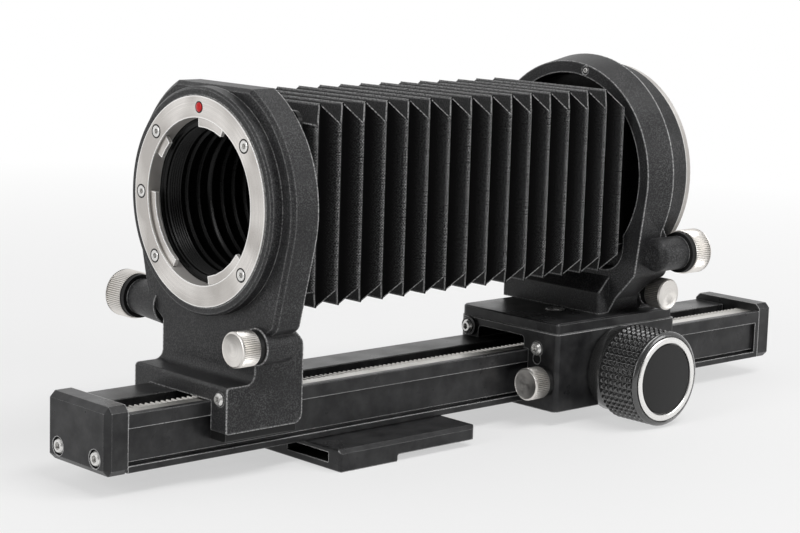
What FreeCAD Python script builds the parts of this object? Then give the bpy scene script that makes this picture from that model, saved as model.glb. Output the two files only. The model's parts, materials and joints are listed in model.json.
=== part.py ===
import FreeCAD, Part
import math
import os

Vector = FreeCAD.Vector

# A macro bellows unit: a front standard and a geared rear carriage on one rail, joined by a bellows.
# Millimetres, X along the rail to the camera end, Z up. Lengths below are laid out from the front of
# the rail and from the underside of its end caps; every piece is then moved so that the mouth of the
# tripod socket is the origin.

# ---- rail ---------------------------------------------------------------------------------------
RAIL_LENGTH = 297.3          # over both end caps
RAIL_WIDTH = 30.0
RAIL_HEIGHT = 17.2
CAP_THICKNESS = 7.4
CAP_OVERHANG = 0.1           # the caps stand proud of the beam's sides
CAP_DROP = 0.4               # ... of its underside
CAP_RISE = 2.5               # ... and of its top
CAP_BEVEL = 1.75
CHANNEL_NEAR_LIP = 2.4       # width of the lip beside the rack
CHANNEL_WIDTH = 14.8
CHANNEL_DEPTH = 6.0
WAY_LIP = 4.3                # height of the upper lip above each side way
WAY_HEIGHT = 9.9
WAY_DEPTH = 1.2
WAY_END_WEB = 2.0            # closed end of the ways before the rear cap
RAIL_EDGE = 0.4
LIP_EDGE = 0.3
GROOVE_HEIGHT = 0.9          # fine groove under each way
GROOVE_DEPTH = 1.1           # beyond the way
CAP_SCREW_SPREAD = 9.2
CAP_SCREW_RISE = 4.6         # above the cap's underside

# ---- rack and gears -----------------------------------------------------------------------------
MODULE = 0.6
PRESSURE_ANGLE = 20.0
ADDENDUM = 0.85              # in modules
DEDENDUM = 1.15
BACKLASH = 0.12              # taken off each tooth, on the pitch line
RACK_SUNK = 0.4              # rack top below the rail top
RACK_WIDTH = 8.0
RACK_TOOTH_WIDTH = 3.2
RACK_SIDE_PLAY = 0.05
PINION_TEETH = 14
GEAR_TEETH = 22
PINION_OVERLAP = 0.2         # the pinion stands back this far inside the toothed strip
CHEEK_GEAR_WIDTH = 5.0

# ---- tripod foot --------------------------------------------------------------------------------
FOOT_FRONT = 73.3
FOOT_LENGTH = 56.3
FOOT_HALF_WIDTH = 30.3
FOOT_THICKNESS = 6.8         # of the front pad
FOOT_STEP = 23.2             # length of the front pad
FOOT_TAIL_THICKNESS = 4.6
FOOT_BEVEL = 1.2
FOOT_EDGE = 0.6
FOOT_FRONT_CORNER = 1.0
FOOT_REAR_CORNER = 2.0
FOOT_WINDOW_INNER = 5.5
FOOT_WINDOW_OUTER = 24.8
FOOT_WINDOW_RISE = 2.2
FOOT_WINDOW_HEIGHT = 3.0
FOOT_WINDOW_DEPTH = 18.0
TRIPOD_SETBACK = 11.7        # of the tripod socket behind the foot's front
TRIPOD_BORE = 5.1            # tapping size of a 1/4-20 thread
FOOT_SCREW_FRONT = 36.0
FOOT_SCREW_SPREAD = 8.0

# ---- optical axis and front standard ------------------------------------------------------------
AXIS_ABOVE_RAIL = 55.9
SADDLE_FRONT = 36.3
SADDLE_HALF_WIDTH = 22.4     # of the saddle and of the neck above it
SADDLE_DROP = 8.8            # saddle legs below the rail top
SADDLE_ROOF = 5.0            # saddle above the rail top
PLATE_SETBACK = 10.2
PLATE_THICKNESS = 9.3
PLATE_RADIUS = 38.3
PLATE_FLAT = 34.1            # height of the flat top above the axis
SHOULDER_HALF_WIDTH = 30.8
SHOULDER_RISE = 21.8         # above the rail top
NECK_RISE = 15.9
NECK_THICKNESS = 18.1
NECK_SLOPE_RISE = 25.0       # where the sloping back of the neck meets the plate
CASTING_EDGE = 1.2
SADDLE_FILLET = 3.0
REAR_CORNER = 3.0
LEG_EDGE = 0.8
NECK_ROUND = 4.0
SHOULDER_CORNER = 3.0
NECK_CORNER = 2.0
RUN_CLEARANCE = 0.06         # between a slide and its way
SHAFT_CLEARANCE = 0.05       # radial, between a shaft and its bore
SEAT_CLEARANCE = 0.05        # radial, between a fixed piece and its seat
GIB_THICKNESS = 2.8
GIB_REACH = 5.9
GIB_INSET = 1.0
GIB_SCREW_RISE = 10.0        # above the saddle's lower edge
FAR_GIB_SCREW_RISE = 4.2
GIB_SCREW_INSET = 3.2
FACE_SCREW_RECESS = 1.0

# ---- lens mount ---------------------------------------------------------------------------------
RING_RADIUS = 31.0
RING_THICKNESS = 2.0
RING_PROUD = 0.5
THROAT_RADIUS = 24.6
HOUSING_WALL = 2.7           # of the housing around the ring
HOUSING_THICKNESS = 4.1
HOUSING_EDGE = 0.7
RING_COLLAR_WALL = 1.0       # the ring's collar lines the throat down to the casting
LUG_REACH = 2.7              # of the lugs into the throat
LUG_SUNK = 0.8
LUG_ROOT = 0.8               # a lug reaches this far into its ring
SECTOR_STEP = 10.0           # degrees
LUG_SPANS = ((65.0, 93.0), (134.0, 150.0), (179.0, 239.0), (281.0, 323.0))
RING_SCREW_ANGLES = (41.0, 138.0, 180.0, 222.0, 318.0)
RING_SCREW_INSET = 3.0       # from the ring's rim
DOT_INSET = 3.3
TOP_ANGLE = 90.0
DOT_RADIUS = 1.1
DOT_SUNK = 0.3
TUBE_WALL = 1.2
TUBE_PLAY = 0.3              # radial, between the tube and the innermost folds
TUBE_FLANGE = 1.0            # thickness of its flange
TUBE_FLANGE_REACH = 2.0      # of the flange beyond the tube
TUBE_LENGTH = 16.0

# ---- bellows ------------------------------------------------------------------------------------
BELLOWS_FOLDS = 16
BELLOWS_HALF = 30.3          # half width and half height over the outer folds
SIDE_FOLD_DEPTH = 4.7
TOP_FOLD_DEPTH = 5.8
CLOTH = 1.0
FRAME_THICKNESS = 1.5
FRAME_WALL = 2.8
FRAME_CORNER = 3.0
FRAME_RING_PLAY = 0.8        # radial, around the rear retaining ring
FRAME_MOUTH_LIP = 1.6        # the rear ring reaches in past the cloth
FRAME_MOUTH_CORNER = 6.0
REAR_COLLAR_PLAY = 1.0       # radial, between the collar's corners and the arch
PLEAT_STANDOFF = 0.6         # the last fold ends this far before the arch

# ---- rear carriage ------------------------------------------------------------------------------
BLOCK_FRONT = 167.8
BLOCK_LENGTH = 58.4
BLOCK_NEAR = 28.1            # near cheek, from the middle of the rail
BLOCK_FAR = 19.0
BLOCK_FAR_CORNER = 5.0
BLOCK_NEAR_CORNER = 1.6
BLOCK_FLOOR = 2.0            # thickness under the rail
BLOCK_ROOF_Z = 6.6           # block top above the rail top
TUNNEL_RISE = 4.2            # clear height of the tunnel above the rail
TUNNEL_NEAR = 13.0
TUNNEL_FAR = 8.6
TUNNEL_CORNER = 1.5
PLATE_COVER = 3.5
PLATE_COVER_INSET = 0.8
PLATE_COVER_CORNER = 3.0
PLATE_COVER_NEAR_CORNER = 1.2
PLATE_COVER_EDGE = 0.5
KNOB_SETBACK = 29.2          # focusing shaft behind the block's front
GEAR_POCKET_PLAY = 0.35
ARBOR_RADIUS = 2.0
SHAFT_RADIUS = 3.0
CHEEK_OUTER_WALL = 3.8
ARBOR_END_WALL = 1.2         # left outside the arbor's near end
SHAFT_INTO_KNOB = 10.4
BEARING_LUG = 3.6
BEARING_LUG_HALF = 3.4
SHAFT_END_GAP = 0.4
CARRIAGE_GIB_INSET = 6.0
CARRIAGE_GIB_SUNK = 1.6      # into the cheek
CARRIAGE_GIB_RISE = 1.5      # above the way's lower edge
FAR_SCREW_SIDE = 3.7         # beyond the tunnel's far wall
FAR_SCREW_RISE = 3.5
FAR_LUG_RADIUS = 3.1         # round lug that the far screw sits in
FAR_LUG_PROUD = 1.2
FAR_LUG_LENGTH = 6.0
NEAR_SCREW_SIDE = 4.1        # beyond the rail's near side
NEAR_SCREW_RISE = 0.8
KEYHOLE_RADIUS = 1.7         # shallow pocket under the near screw
KEYHOLE_DROP = 3.4
PLATE_SCREW_SETBACK = 20.4
PLATE_SCREW_SIDE = 7.6

# ---- rear standard ------------------------------------------------------------------------------
REAR_SETBACK = 30.2          # arch front behind the block's front
ARCH_DEPTH = 10.5
ARCH_FRONT_RADIUS = 37.4
ARCH_REAR_RADIUS = 39.5
ARCH_OPENING = 33.4
ARCH_SHOULDER_HALF = 33.4
ARCH_SHOULDER_RISE = 24.0
REAR_NECK_HALF = 25.4
REAR_NECK_RISE = 15.4
REAR_NECK_DEPTH = 16.0
REAR_BASE_DEPTH = 24.2
REAR_BASE_RISE = 14.6        # top of the base above the rail top
REAR_BASE_HALF = 22.4
WINDOW_HALF = 27.6
WINDOW_DROP = 31.2           # sill of the rear window below the axis
WINDOW_CORNER = 8.0
WINDOW_DEPTH = 6.5
REAR_SKIRT_WIDEN = 1.4       # the neck widens upwards past the shoulders
REAR_SKIRT_DROP = 14.0       # top of the neck below the axis
NECK_INSET = 2.0             # of the rear neck behind the arch front
HORN_FOOT_DROP = 22.0        # the neck's upper rear fades forward from here, below the axis
BASE_FORWARD = 5.0           # the base's front stands before the arch
BASE_FRONT_RISE = 7.2        # ... and is this high
BASE_SILL_RISE = 12.4        # the sloping sill above it ends at this height, at the arch
BASE_CORNER = 0.8
BASE_EDGE = 0.6
BASE_ROUND = 1.5
BASE_SLOPE = 2.0
HORN_CLEARANCE = 0.4
TOP_SCREW_RADIUS = 35.4
TOP_SCREW_ANGLE = 78.0

# ---- revolving camera mount ---------------------------------------------------------------------
MOUNT_RADIUS = 36.5
MOUNT_DEPTH = 10.5
MOUNT_EDGE = 0.8
MOUNT_SPIGOT_RADIUS = 28.0
MOUNT_SPIGOT_LENGTH = 3.4
FLANGE_RADIUS = 36.0
FLANGE_THICKNESS = 2.5
FLANGE_EDGE = 0.5
REAR_THROAT_RADIUS = 22.0
BAYONET_RADIUS = 23.6
BAYONET_LENGTH = 4.2
BAYONET_LUG_RADIUS = 25.4
BAYONET_LUG_THICKNESS = 1.3
BAYONET_LUG_SPAN = 52.0
BAYONET_LUGS = 3
FLANGE_SCREWS = 4
FLANGE_SCREW_INSET = 4.5
FLANGE_SCREW_TURN = 45.0

# ---- thumb knobs --------------------------------------------------------------------------------
SMALL_KNOB_RADIUS = 5.3
SMALL_KNOB_LENGTH = 6.6
LARGE_KNOB_RADIUS = 7.4
LARGE_KNOB_LENGTH = 7.4
KNURL_PITCH = 0.85
KNURL_DEPTH = 0.35
KNOB_EDGE = 0.7
FACE_DISH = 0.25
STUD_RADIUS = 2.0
STUD_LENGTH = 9.0
WASHER_THICKNESS = 1.8
WASHER_GAP = 0.05
WASHER_SHARE = 0.92          # washer radius, as a share of its knob's
NEAR_BOSS_RADIUS = 5.5
NEAR_BOSS_SIDE = 24.0
NEAR_BOSS_RISE = 16.4
NEAR_BOSS_LENGTH = 12.6
NEAR_BOSS_PROUD = 1.2
NEAR_BOSS_ROUND = 2.7
FAR_BOSS_RADIUS = 6.6
FAR_BOSS_END_RADIUS = 5.6
FAR_BOSS_ROOT = 26.0         # where it leaves the casting
FAR_BOSS_REACH = 41.5
FAR_BOSS_SETBACK = 5.6       # behind the plate's front
FAR_BOSS_RISE = 20.6
REAR_LOCK_SIDE = 37.0
REAR_LOCK_DROP = 24.6        # below the axis
REAR_LOCK_BOSS = 5.6
REAR_LOCK_BOSS_START = 4.0   # its rounded front end behind the arch front
REAR_LOCK_BOSS_LENGTH = 13.0
REAR_LOCK_BOSS_ROUND = 2.5
BASE_LOCK_SETBACK = 16.6     # behind the arch front
BASE_LOCK_RISE = 16.6
BASE_LOCK_BOSS = 5.0
BASE_LOCK_REACH = 26.2
SPOT_FACE_PLAY = 0.6         # radial room around a knob that sits in a spot face
BLOCK_LOCK_SIDE = 22.4
BLOCK_LOCK_Z = 9.6           # below the rail top

# ---- focusing knob ------------------------------------------------------------------------------
KNOB_RADIUS = 15.8
KNOB_HUB_RADIUS = 14.3
KNOB_HUB_LENGTH = 5.4
KNOB_LENGTH = 16.6
KNOB_RIBS = 40
KNOB_GROOVES = 7
KNOB_GROOVE_DEPTH = 0.9
KNOB_GROOVE_HALF = 0.54
KNOB_FACE_BEVEL = 1.5
TRIM_OUTER_RADIUS = 13.9
TRIM_INNER_RADIUS = 11.9
TRIM_THICKNESS = 1.2
TRIM_PROUD = 0.35
TRIM_EDGE = 0.3
DISC_THICKNESS = 0.85

# ---- screws: head radius, head height, shank radius, shank length -------------------------------
CAP_SCREW = (2.5, 1.9, 1.5, 9.0)
RING_SCREW = (1.25, 0.7, 0.7, 3.0)
GIB_SCREW = (1.85, 1.3, 1.1, 5.0)
BLOCK_SCREW = (2.2, 1.5, 1.3, 6.0)
PLATE_SCREW = (2.9, 1.6, 1.6, 7.0)
FOOT_SCREW = (2.6, 1.8, 1.5, 6.0)
TOP_SCREW = (1.1, 0.7, 0.6, 3.0)
SCREW_HEAD_PLAY = 0.25
HEX_SHARE = 0.5              # hex socket across corners, as a share of the head
HEX_DEPTH_SHARE = 0.6
HEAD_PROUD = 0.2
HEAD_SIDE_SHARE = 0.45
HEAD_TOP_SHARE = 0.72

# ---- levels and stations that follow ------------------------------------------------------------
RAIL_Z0 = CAP_DROP
RAIL_TOP = RAIL_Z0 + RAIL_HEIGHT
RAIL_SIDE = RAIL_WIDTH / 2
CHANNEL_NEAR = -RAIL_SIDE + CHANNEL_NEAR_LIP
CHANNEL_FLOOR = RAIL_TOP - CHANNEL_DEPTH
WAY_TOP = RAIL_TOP - WAY_LIP
WAY_BOTTOM = WAY_TOP - WAY_HEIGHT
AXIS_Z = RAIL_TOP + AXIS_ABOVE_RAIL
PLATE_FRONT = SADDLE_FRONT + PLATE_SETBACK
PLATE_REAR = PLATE_FRONT + PLATE_THICKNESS
SADDLE_REAR = PLATE_FRONT + NECK_THICKNESS
SADDLE_BOTTOM = RAIL_TOP - SADDLE_DROP
SADDLE_TOP = RAIL_TOP + SADDLE_ROOF
BLOCK_REAR = BLOCK_FRONT + BLOCK_LENGTH
BLOCK_BOTTOM = RAIL_Z0 - BLOCK_FLOOR
BLOCK_TOP = RAIL_TOP + BLOCK_ROOF_Z
COVER_TOP = BLOCK_TOP + PLATE_COVER
ARCH_FRONT = BLOCK_FRONT + REAR_SETBACK
ARCH_REAR = ARCH_FRONT + ARCH_DEPTH
MOUNT_REAR = ARCH_REAR + MOUNT_DEPTH
FLANGE_REAR = MOUNT_REAR + FLANGE_THICKNESS
HOUSING_FRONT = PLATE_FRONT - HOUSING_THICKNESS
HOUSING_RADIUS = RING_RADIUS + HOUSING_WALL
RING_FRONT = HOUSING_FRONT - RING_PROUD
RING_REAR = RING_FRONT + RING_THICKNESS
BELLOWS_START = PLATE_REAR + FRAME_THICKNESS
BELLOWS_END = ARCH_FRONT + WINDOW_DEPTH - FRAME_THICKNESS
BELLOWS_COLLAR = BELLOWS_HALF - SIDE_FOLD_DEPTH
REAR_COLLAR = (ARCH_OPENING - REAR_COLLAR_PLAY) / math.sqrt(2)
PLEATS_END = ARCH_FRONT - PLEAT_STANDOFF
TUBE_RADIUS = BELLOWS_HALF - max(SIDE_FOLD_DEPTH, TOP_FOLD_DEPTH) - CLOTH - TUBE_PLAY
FRAME_RING_RADIUS = ARCH_OPENING - FRAME_RING_PLAY
FOOT_BOTTOM = RAIL_Z0 - FOOT_THICKNESS
TRIPOD_X = FOOT_FRONT + TRIPOD_SETBACK

RACK_TOP = RAIL_TOP - RACK_SUNK
RACK_PITCH_LINE = RACK_TOP - ADDENDUM * MODULE
TOOTH_PITCH = math.pi * MODULE
PINION_RADIUS = MODULE * PINION_TEETH / 2
GEAR_RADIUS = MODULE * GEAR_TEETH / 2
SHAFT_X = BLOCK_FRONT + KNOB_SETBACK
ARBOR_Z = RACK_PITCH_LINE + PINION_RADIUS
KNOB_Z = ARBOR_Z - PINION_RADIUS - GEAR_RADIUS
PINION_TIP = PINION_RADIUS + ADDENDUM * MODULE
GEAR_TIP = GEAR_RADIUS + ADDENDUM * MODULE
TEETH_FAR = CHANNEL_NEAR + RACK_SIDE_PLAY + RACK_WIDTH
TEETH_NEAR = TEETH_FAR - RACK_TOOTH_WIDTH
GEAR_NEAR = -BLOCK_NEAR + CHEEK_OUTER_WALL + GEAR_POCKET_PLAY
GEAR_FAR = GEAR_NEAR + CHEEK_GEAR_WIDTH

ORIGIN = Vector(TRIPOD_X, 0, FOOT_BOTTOM)
AXES = {"X": Vector(1, 0, 0), "Y": Vector(0, 1, 0), "Z": Vector(0, 0, 1)}
TINY = 1e-6
OVERCUT = 1.0                # a cutting tool runs on this far past the face


# ---- shared shapes ------------------------------------------------------------------------------
def at(axis, along, u, v):
    """Point by its place along an axis and its two other coordinates, in X, Y, Z order."""
    if axis == "X":
        return Vector(along, u, v)
    if axis == "Y":
        return Vector(u, along, v)
    return Vector(u, v, along)


def outline(axis, along, corners):
    """Closed wire through corners (u, v, radius), each corner rounded by its own radius."""
    points = [at(axis, along, u, v) for u, v, _ in corners]
    bends = []
    for i, (_, _, radius) in enumerate(corners):
        here = points[i]
        if radius <= 0:
            bends.append((here, None, here))
            continue
        back = (points[i - 1] - here).normalize()
        ahead = (points[(i + 1) % len(points)] - here).normalize()
        half = back.getAngle(ahead) / 2
        reach = radius / math.tan(half)
        inward = (back + ahead).normalize()
        middle = here + inward * (radius / math.sin(half) - radius)
        bends.append((here + back * reach, middle, here + ahead * reach))
    edges = []
    for i, (start, middle, end) in enumerate(bends):
        if middle is not None:
            edges.append(Part.Arc(start, middle, end).toShape())
        following = bends[(i + 1) % len(bends)][0]
        if (following - end).Length > TINY:
            edges.append(Part.makeLine(end, following))
    return Part.Wire(edges)


def prism(axis, start, end, corners):
    face = Part.Face(outline(axis, start, corners))
    return face.extrude(AXES[axis] * (end - start))


def box(x0, x1, y0, y1, z0, z1):
    return Part.makeBox(x1 - x0, y1 - y0, z1 - z0, Vector(x0, y0, z0))


def rod(axis, start, end, u, v, radius):
    return Part.makeCylinder(radius, end - start, at(axis, start, u, v), AXES[axis])


def tube(axis, start, end, u, v, outer, inner):
    return rod(axis, start, end, u, v, outer).cut(rod(axis, start, end, u, v, inner))


def turned(profile, point=Vector(0, 0, 0), direction=AXES["Z"]):
    """Solid of revolution from (radius, height) points, its foot at a point, rising along direction."""
    points = [Vector(radius, 0, height) for radius, height in profile]
    face = Part.Face(Part.makePolygon(points + points[:1]))
    return placed(face.revolve(Vector(0, 0, 0), AXES["Z"], 360), point, direction)


def placed(shape, point, direction):
    moved = shape.copy()
    moved.Placement = FreeCAD.Placement(point, FreeCAD.Rotation(AXES["Z"], direction))
    return moved


def star(radius, depth, count, height):
    """Prism with count V flutes around it, standing on the XY plane."""
    points = []
    for i in range(2 * count):
        reach = radius if i % 2 == 0 else radius - depth
        angle = math.pi * i / count
        points.append(Vector(reach * math.cos(angle), reach * math.sin(angle), 0))
    return Part.Face(Part.makePolygon(points + points[:1])).extrude(Vector(0, 0, height))


def polar(radius, degrees):
    """Place (y, z) around the optical axis; degrees run from the near side up over the top."""
    angle = math.radians(degrees)
    return -radius * math.cos(angle), AXIS_Z + radius * math.sin(angle)


def gear_outline(teeth, mesh_turn, height):
    """Spur gear standing on the XY plane, with one tooth centred mesh_turn radians from +X."""
    pitch_radius = MODULE * teeth / 2
    base = pitch_radius * math.cos(math.radians(PRESSURE_ANGLE))
    root = pitch_radius - DEDENDUM * MODULE
    tip = pitch_radius + ADDENDUM * MODULE
    at_pitch = math.pi / (2 * teeth) - BACKLASH / (2 * pitch_radius)

    def involute(radius):
        angle = math.acos(min(1, base / radius))
        return math.tan(angle) - angle

    def half_angle(radius):
        return at_pitch + involute(pitch_radius) - involute(max(radius, base))

    foot = max(base, root)
    radii = [root, foot, (foot + pitch_radius) / 2, pitch_radius, (pitch_radius + tip) / 2, tip]
    points = []
    for i in range(teeth):
        middle = mesh_turn + 2 * math.pi * i / teeth
        flank = [(radius, middle - half_angle(radius)) for radius in radii]
        flank += [(radius, middle + half_angle(radius)) for radius in reversed(radii)]
        points += [Vector(r * math.cos(a), r * math.sin(a), 0) for r, a in flank]
    return Part.Face(Part.makePolygon(points + points[:1])).extrude(Vector(0, 0, height))


def along_y(shape, start, x, z):
    """Stand a Z-built shape along +Y from start; its local +X stays the world's +X, +Y becomes -Z."""
    turned_over = shape.copy()
    turned_over.Placement = FreeCAD.Placement(
        Vector(x, start, z), FreeCAD.Rotation(AXES["X"], Vector(0, 0, -1), AXES["Y"]))
    return turned_over


# ---- screws -------------------------------------------------------------------------------------
def screw(size, seat, direction):
    """Button-head socket screw; seat is the point under its head and direction is where it looks."""
    head, rise, shank, length = size
    profile = [(0, -length), (shank, -length), (shank, 0), (head, 0), (head, rise * HEAD_SIDE_SHARE),
               (head * HEAD_TOP_SHARE, rise), (0, rise)]
    body = turned(profile)
    reach = head * HEX_SHARE
    floor = rise * (1 - HEX_DEPTH_SHARE)
    corners = [Vector(reach * math.cos(math.pi * i / 3), reach * math.sin(math.pi * i / 3), floor)
               for i in range(6)]
    socket = Part.Face(Part.makePolygon(corners + corners[:1]))
    body = body.cut(socket.extrude(Vector(0, 0, rise)))
    return placed(body, seat, direction)


def screw_room(size, seat, direction, recess):
    """Shank hole and head recess that a screw needs in the piece it sits in."""
    head, _, shank, length = size
    profile = [(0, -length - SEAT_CLEARANCE), (shank + SEAT_CLEARANCE, -length - SEAT_CLEARANCE),
               (shank + SEAT_CLEARANCE, 0)]
    if recess > 0:
        profile += [(head + SCREW_HEAD_PLAY, 0), (head + SCREW_HEAD_PLAY, recess), (0, recess)]
    else:
        profile += [(0, 0)]
    return placed(turned(profile), seat, direction)


# ---- thumb knobs --------------------------------------------------------------------------------
def thumb_knob(radius, length, seat, direction):
    """Knurled thumb screw: seat is the middle of its washer's outer face, direction is outwards."""
    flutes = round(2 * math.pi * radius / KNURL_PITCH)
    inner = radius - KNURL_DEPTH - KNOB_EDGE
    barrel = [(0, 0), (inner, 0), (radius, KNOB_EDGE), (radius, length - KNOB_EDGE), (inner, length),
              (inner - KNOB_EDGE, length), (0, length - FACE_DISH)]
    head = turned(barrel).common(star(radius, KNURL_DEPTH, flutes, length))
    stud = Part.makeCylinder(STUD_RADIUS, STUD_LENGTH + WASHER_THICKNESS + KNOB_EDGE,
                             Vector(0, 0, -STUD_LENGTH - WASHER_THICKNESS))
    return placed(head.fuse(stud).removeSplitter(), seat + direction * WASHER_GAP, direction)


def washer(radius, seat, direction):
    """Washer under a thumb knob; seat is the middle of its outer face."""
    ring = Part.makeCylinder(radius, WASHER_THICKNESS, Vector(0, 0, -WASHER_THICKNESS))
    bore = Part.makeCylinder(STUD_RADIUS + SHAFT_CLEARANCE, WASHER_THICKNESS, Vector(0, 0, -WASHER_THICKNESS))
    return placed(ring.cut(bore), seat, direction)


def stud_room(seat, direction):
    depth = STUD_LENGTH + WASHER_THICKNESS + SHAFT_END_GAP
    return placed(Part.makeCylinder(STUD_RADIUS + SHAFT_CLEARANCE, depth, Vector(0, 0, -depth)),
                  seat, direction)


NEAR_LOCK_SEAT = Vector(PLATE_FRONT - NEAR_BOSS_PROUD - WASHER_THICKNESS, -NEAR_BOSS_SIDE,
                        RAIL_TOP + NEAR_BOSS_RISE)
FAR_LOCK_SEAT = Vector(PLATE_FRONT + FAR_BOSS_SETBACK, FAR_BOSS_REACH + WASHER_THICKNESS,
                       RAIL_TOP + FAR_BOSS_RISE)
REAR_LOCK_SEAT = Vector(ARCH_FRONT + REAR_LOCK_BOSS_START + REAR_LOCK_BOSS_LENGTH + WASHER_THICKNESS,
                        -REAR_LOCK_SIDE, AXIS_Z - REAR_LOCK_DROP)
BASE_LOCK_SEAT = Vector(ARCH_FRONT + BASE_LOCK_SETBACK, -BASE_LOCK_REACH - WASHER_THICKNESS,
                        RAIL_TOP + BASE_LOCK_RISE)
BLOCK_LOCK_SEAT = Vector(BLOCK_FRONT - WASHER_THICKNESS, -BLOCK_LOCK_SIDE, RAIL_TOP - BLOCK_LOCK_Z)
FRONTWARD = Vector(-1, 0, 0)
REARWARD = Vector(1, 0, 0)
NEARWARD = Vector(0, -1, 0)
FARWARD = Vector(0, 1, 0)
UPWARD = Vector(0, 0, 1)
DOWNWARD = Vector(0, 0, -1)


# ---- rail pieces --------------------------------------------------------------------------------
def cap_screw_places():
    """Seat and outward direction of each of the four end-cap screws."""
    places = []
    depth = CAP_SCREW[1] - HEAD_PROUD
    for x, direction in ((depth, FRONTWARD), (RAIL_LENGTH - depth, REARWARD)):
        for side in (-1, 1):
            places.append((Vector(x, side * CAP_SCREW_SPREAD, CAP_SCREW_RISE), direction))
    return places


def foot_screw_places():
    depth = FOOT_SCREW[1] + HEAD_PROUD
    z = RAIL_Z0 - FOOT_TAIL_THICKNESS + depth
    x = FOOT_FRONT + FOOT_SCREW_FRONT
    return [(Vector(x, side * FOOT_SCREW_SPREAD, z), DOWNWARD) for side in (-1, 1)]


def rail_beam():
    start, end = CAP_THICKNESS, RAIL_LENGTH - CAP_THICKNESS
    channel_far = CHANNEL_NEAR + CHANNEL_WIDTH
    section = [(-RAIL_SIDE, RAIL_Z0, RAIL_EDGE), (RAIL_SIDE, RAIL_Z0, RAIL_EDGE),
               (RAIL_SIDE, RAIL_TOP, LIP_EDGE), (channel_far, RAIL_TOP, LIP_EDGE),
               (channel_far, CHANNEL_FLOOR, 0), (CHANNEL_NEAR, CHANNEL_FLOOR, 0),
               (CHANNEL_NEAR, RAIL_TOP, LIP_EDGE), (-RAIL_SIDE, RAIL_TOP, LIP_EDGE)]
    beam = prism("X", start, end, section)
    ways_end = end - WAY_END_WEB
    for side in (-1, 1):
        outer = side * (RAIL_SIDE + OVERCUT)
        y0, y1 = sorted((side * (RAIL_SIDE - WAY_DEPTH), outer))
        beam = beam.cut(box(start, ways_end, y0, y1, WAY_BOTTOM, WAY_TOP))
        y0, y1 = sorted((side * (RAIL_SIDE - WAY_DEPTH - GROOVE_DEPTH), outer))
        beam = beam.cut(box(start, ways_end, y0, y1, WAY_BOTTOM - GROOVE_HEIGHT, WAY_BOTTOM))
    for seat, direction in cap_screw_places():
        beam = beam.cut(screw_room(CAP_SCREW, seat, direction, 0))
    for seat, direction in foot_screw_places():
        beam = beam.cut(screw_room(FOOT_SCREW, seat, direction, 0))
    return beam


def end_cap(front):
    """End cap; its outer face and long edges are bevelled, its inner face is flat on the beam."""
    x0 = 0 if front else RAIL_LENGTH - CAP_THICKNESS
    half = RAIL_SIDE + CAP_OVERHANG
    cap = box(x0, x0 + CAP_THICKNESS, -half, half, 0, RAIL_TOP + CAP_RISE)
    inner_x = x0 + CAP_THICKNESS if front else x0
    bevelled = [edge for edge in cap.Edges
                if not all(abs(vertex.X - inner_x) < TINY for vertex in edge.Vertexes)]
    cap = cap.makeChamfer(CAP_BEVEL, bevelled)
    outer_screws = cap_screw_places()[:2] if front else cap_screw_places()[2:]
    for seat, direction in outer_screws:
        cap = cap.cut(screw_room(CAP_SCREW, seat, direction, CAP_SCREW[1] + HEAD_PROUD))
    return cap


def focus_rack():
    """Steel bar with a plain near shoulder and teeth cut across its far edge."""
    start, end = CAP_THICKNESS + SEAT_CLEARANCE, RAIL_LENGTH - CAP_THICKNESS - SEAT_CLEARANCE
    near = CHANNEL_NEAR + RACK_SIDE_PLAY
    shoulder = box(start, end, near, TEETH_NEAR, CHANNEL_FLOOR, RACK_TOP)
    slope = math.tan(math.radians(PRESSURE_ANGLE))
    root_z = RACK_PITCH_LINE - DEDENDUM * MODULE
    half_gap = TOOTH_PITCH / 4 + BACKLASH / 2
    half_top = half_gap + ADDENDUM * MODULE * slope
    half_root = half_gap - DEDENDUM * MODULE * slope
    first = math.ceil((start + TOOTH_PITCH - SHAFT_X) / TOOTH_PITCH)
    last = math.floor((end - TOOTH_PITCH - SHAFT_X) / TOOTH_PITCH)
    points = [(start, CHANNEL_FLOOR), (start, RACK_TOP)]
    for i in range(first, last + 1):
        x = SHAFT_X + i * TOOTH_PITCH
        points += [(x - half_top, RACK_TOP), (x - half_root, root_z),
                   (x + half_root, root_z), (x + half_top, RACK_TOP)]
    points += [(end, RACK_TOP), (end, CHANNEL_FLOOR)]
    wire = Part.makePolygon([Vector(x, TEETH_NEAR, z) for x, z in points + points[:1]])
    teeth = Part.Face(wire).extrude(Vector(0, RACK_TOOTH_WIDTH, 0))
    return shoulder.fuse(teeth).removeSplitter()


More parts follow.
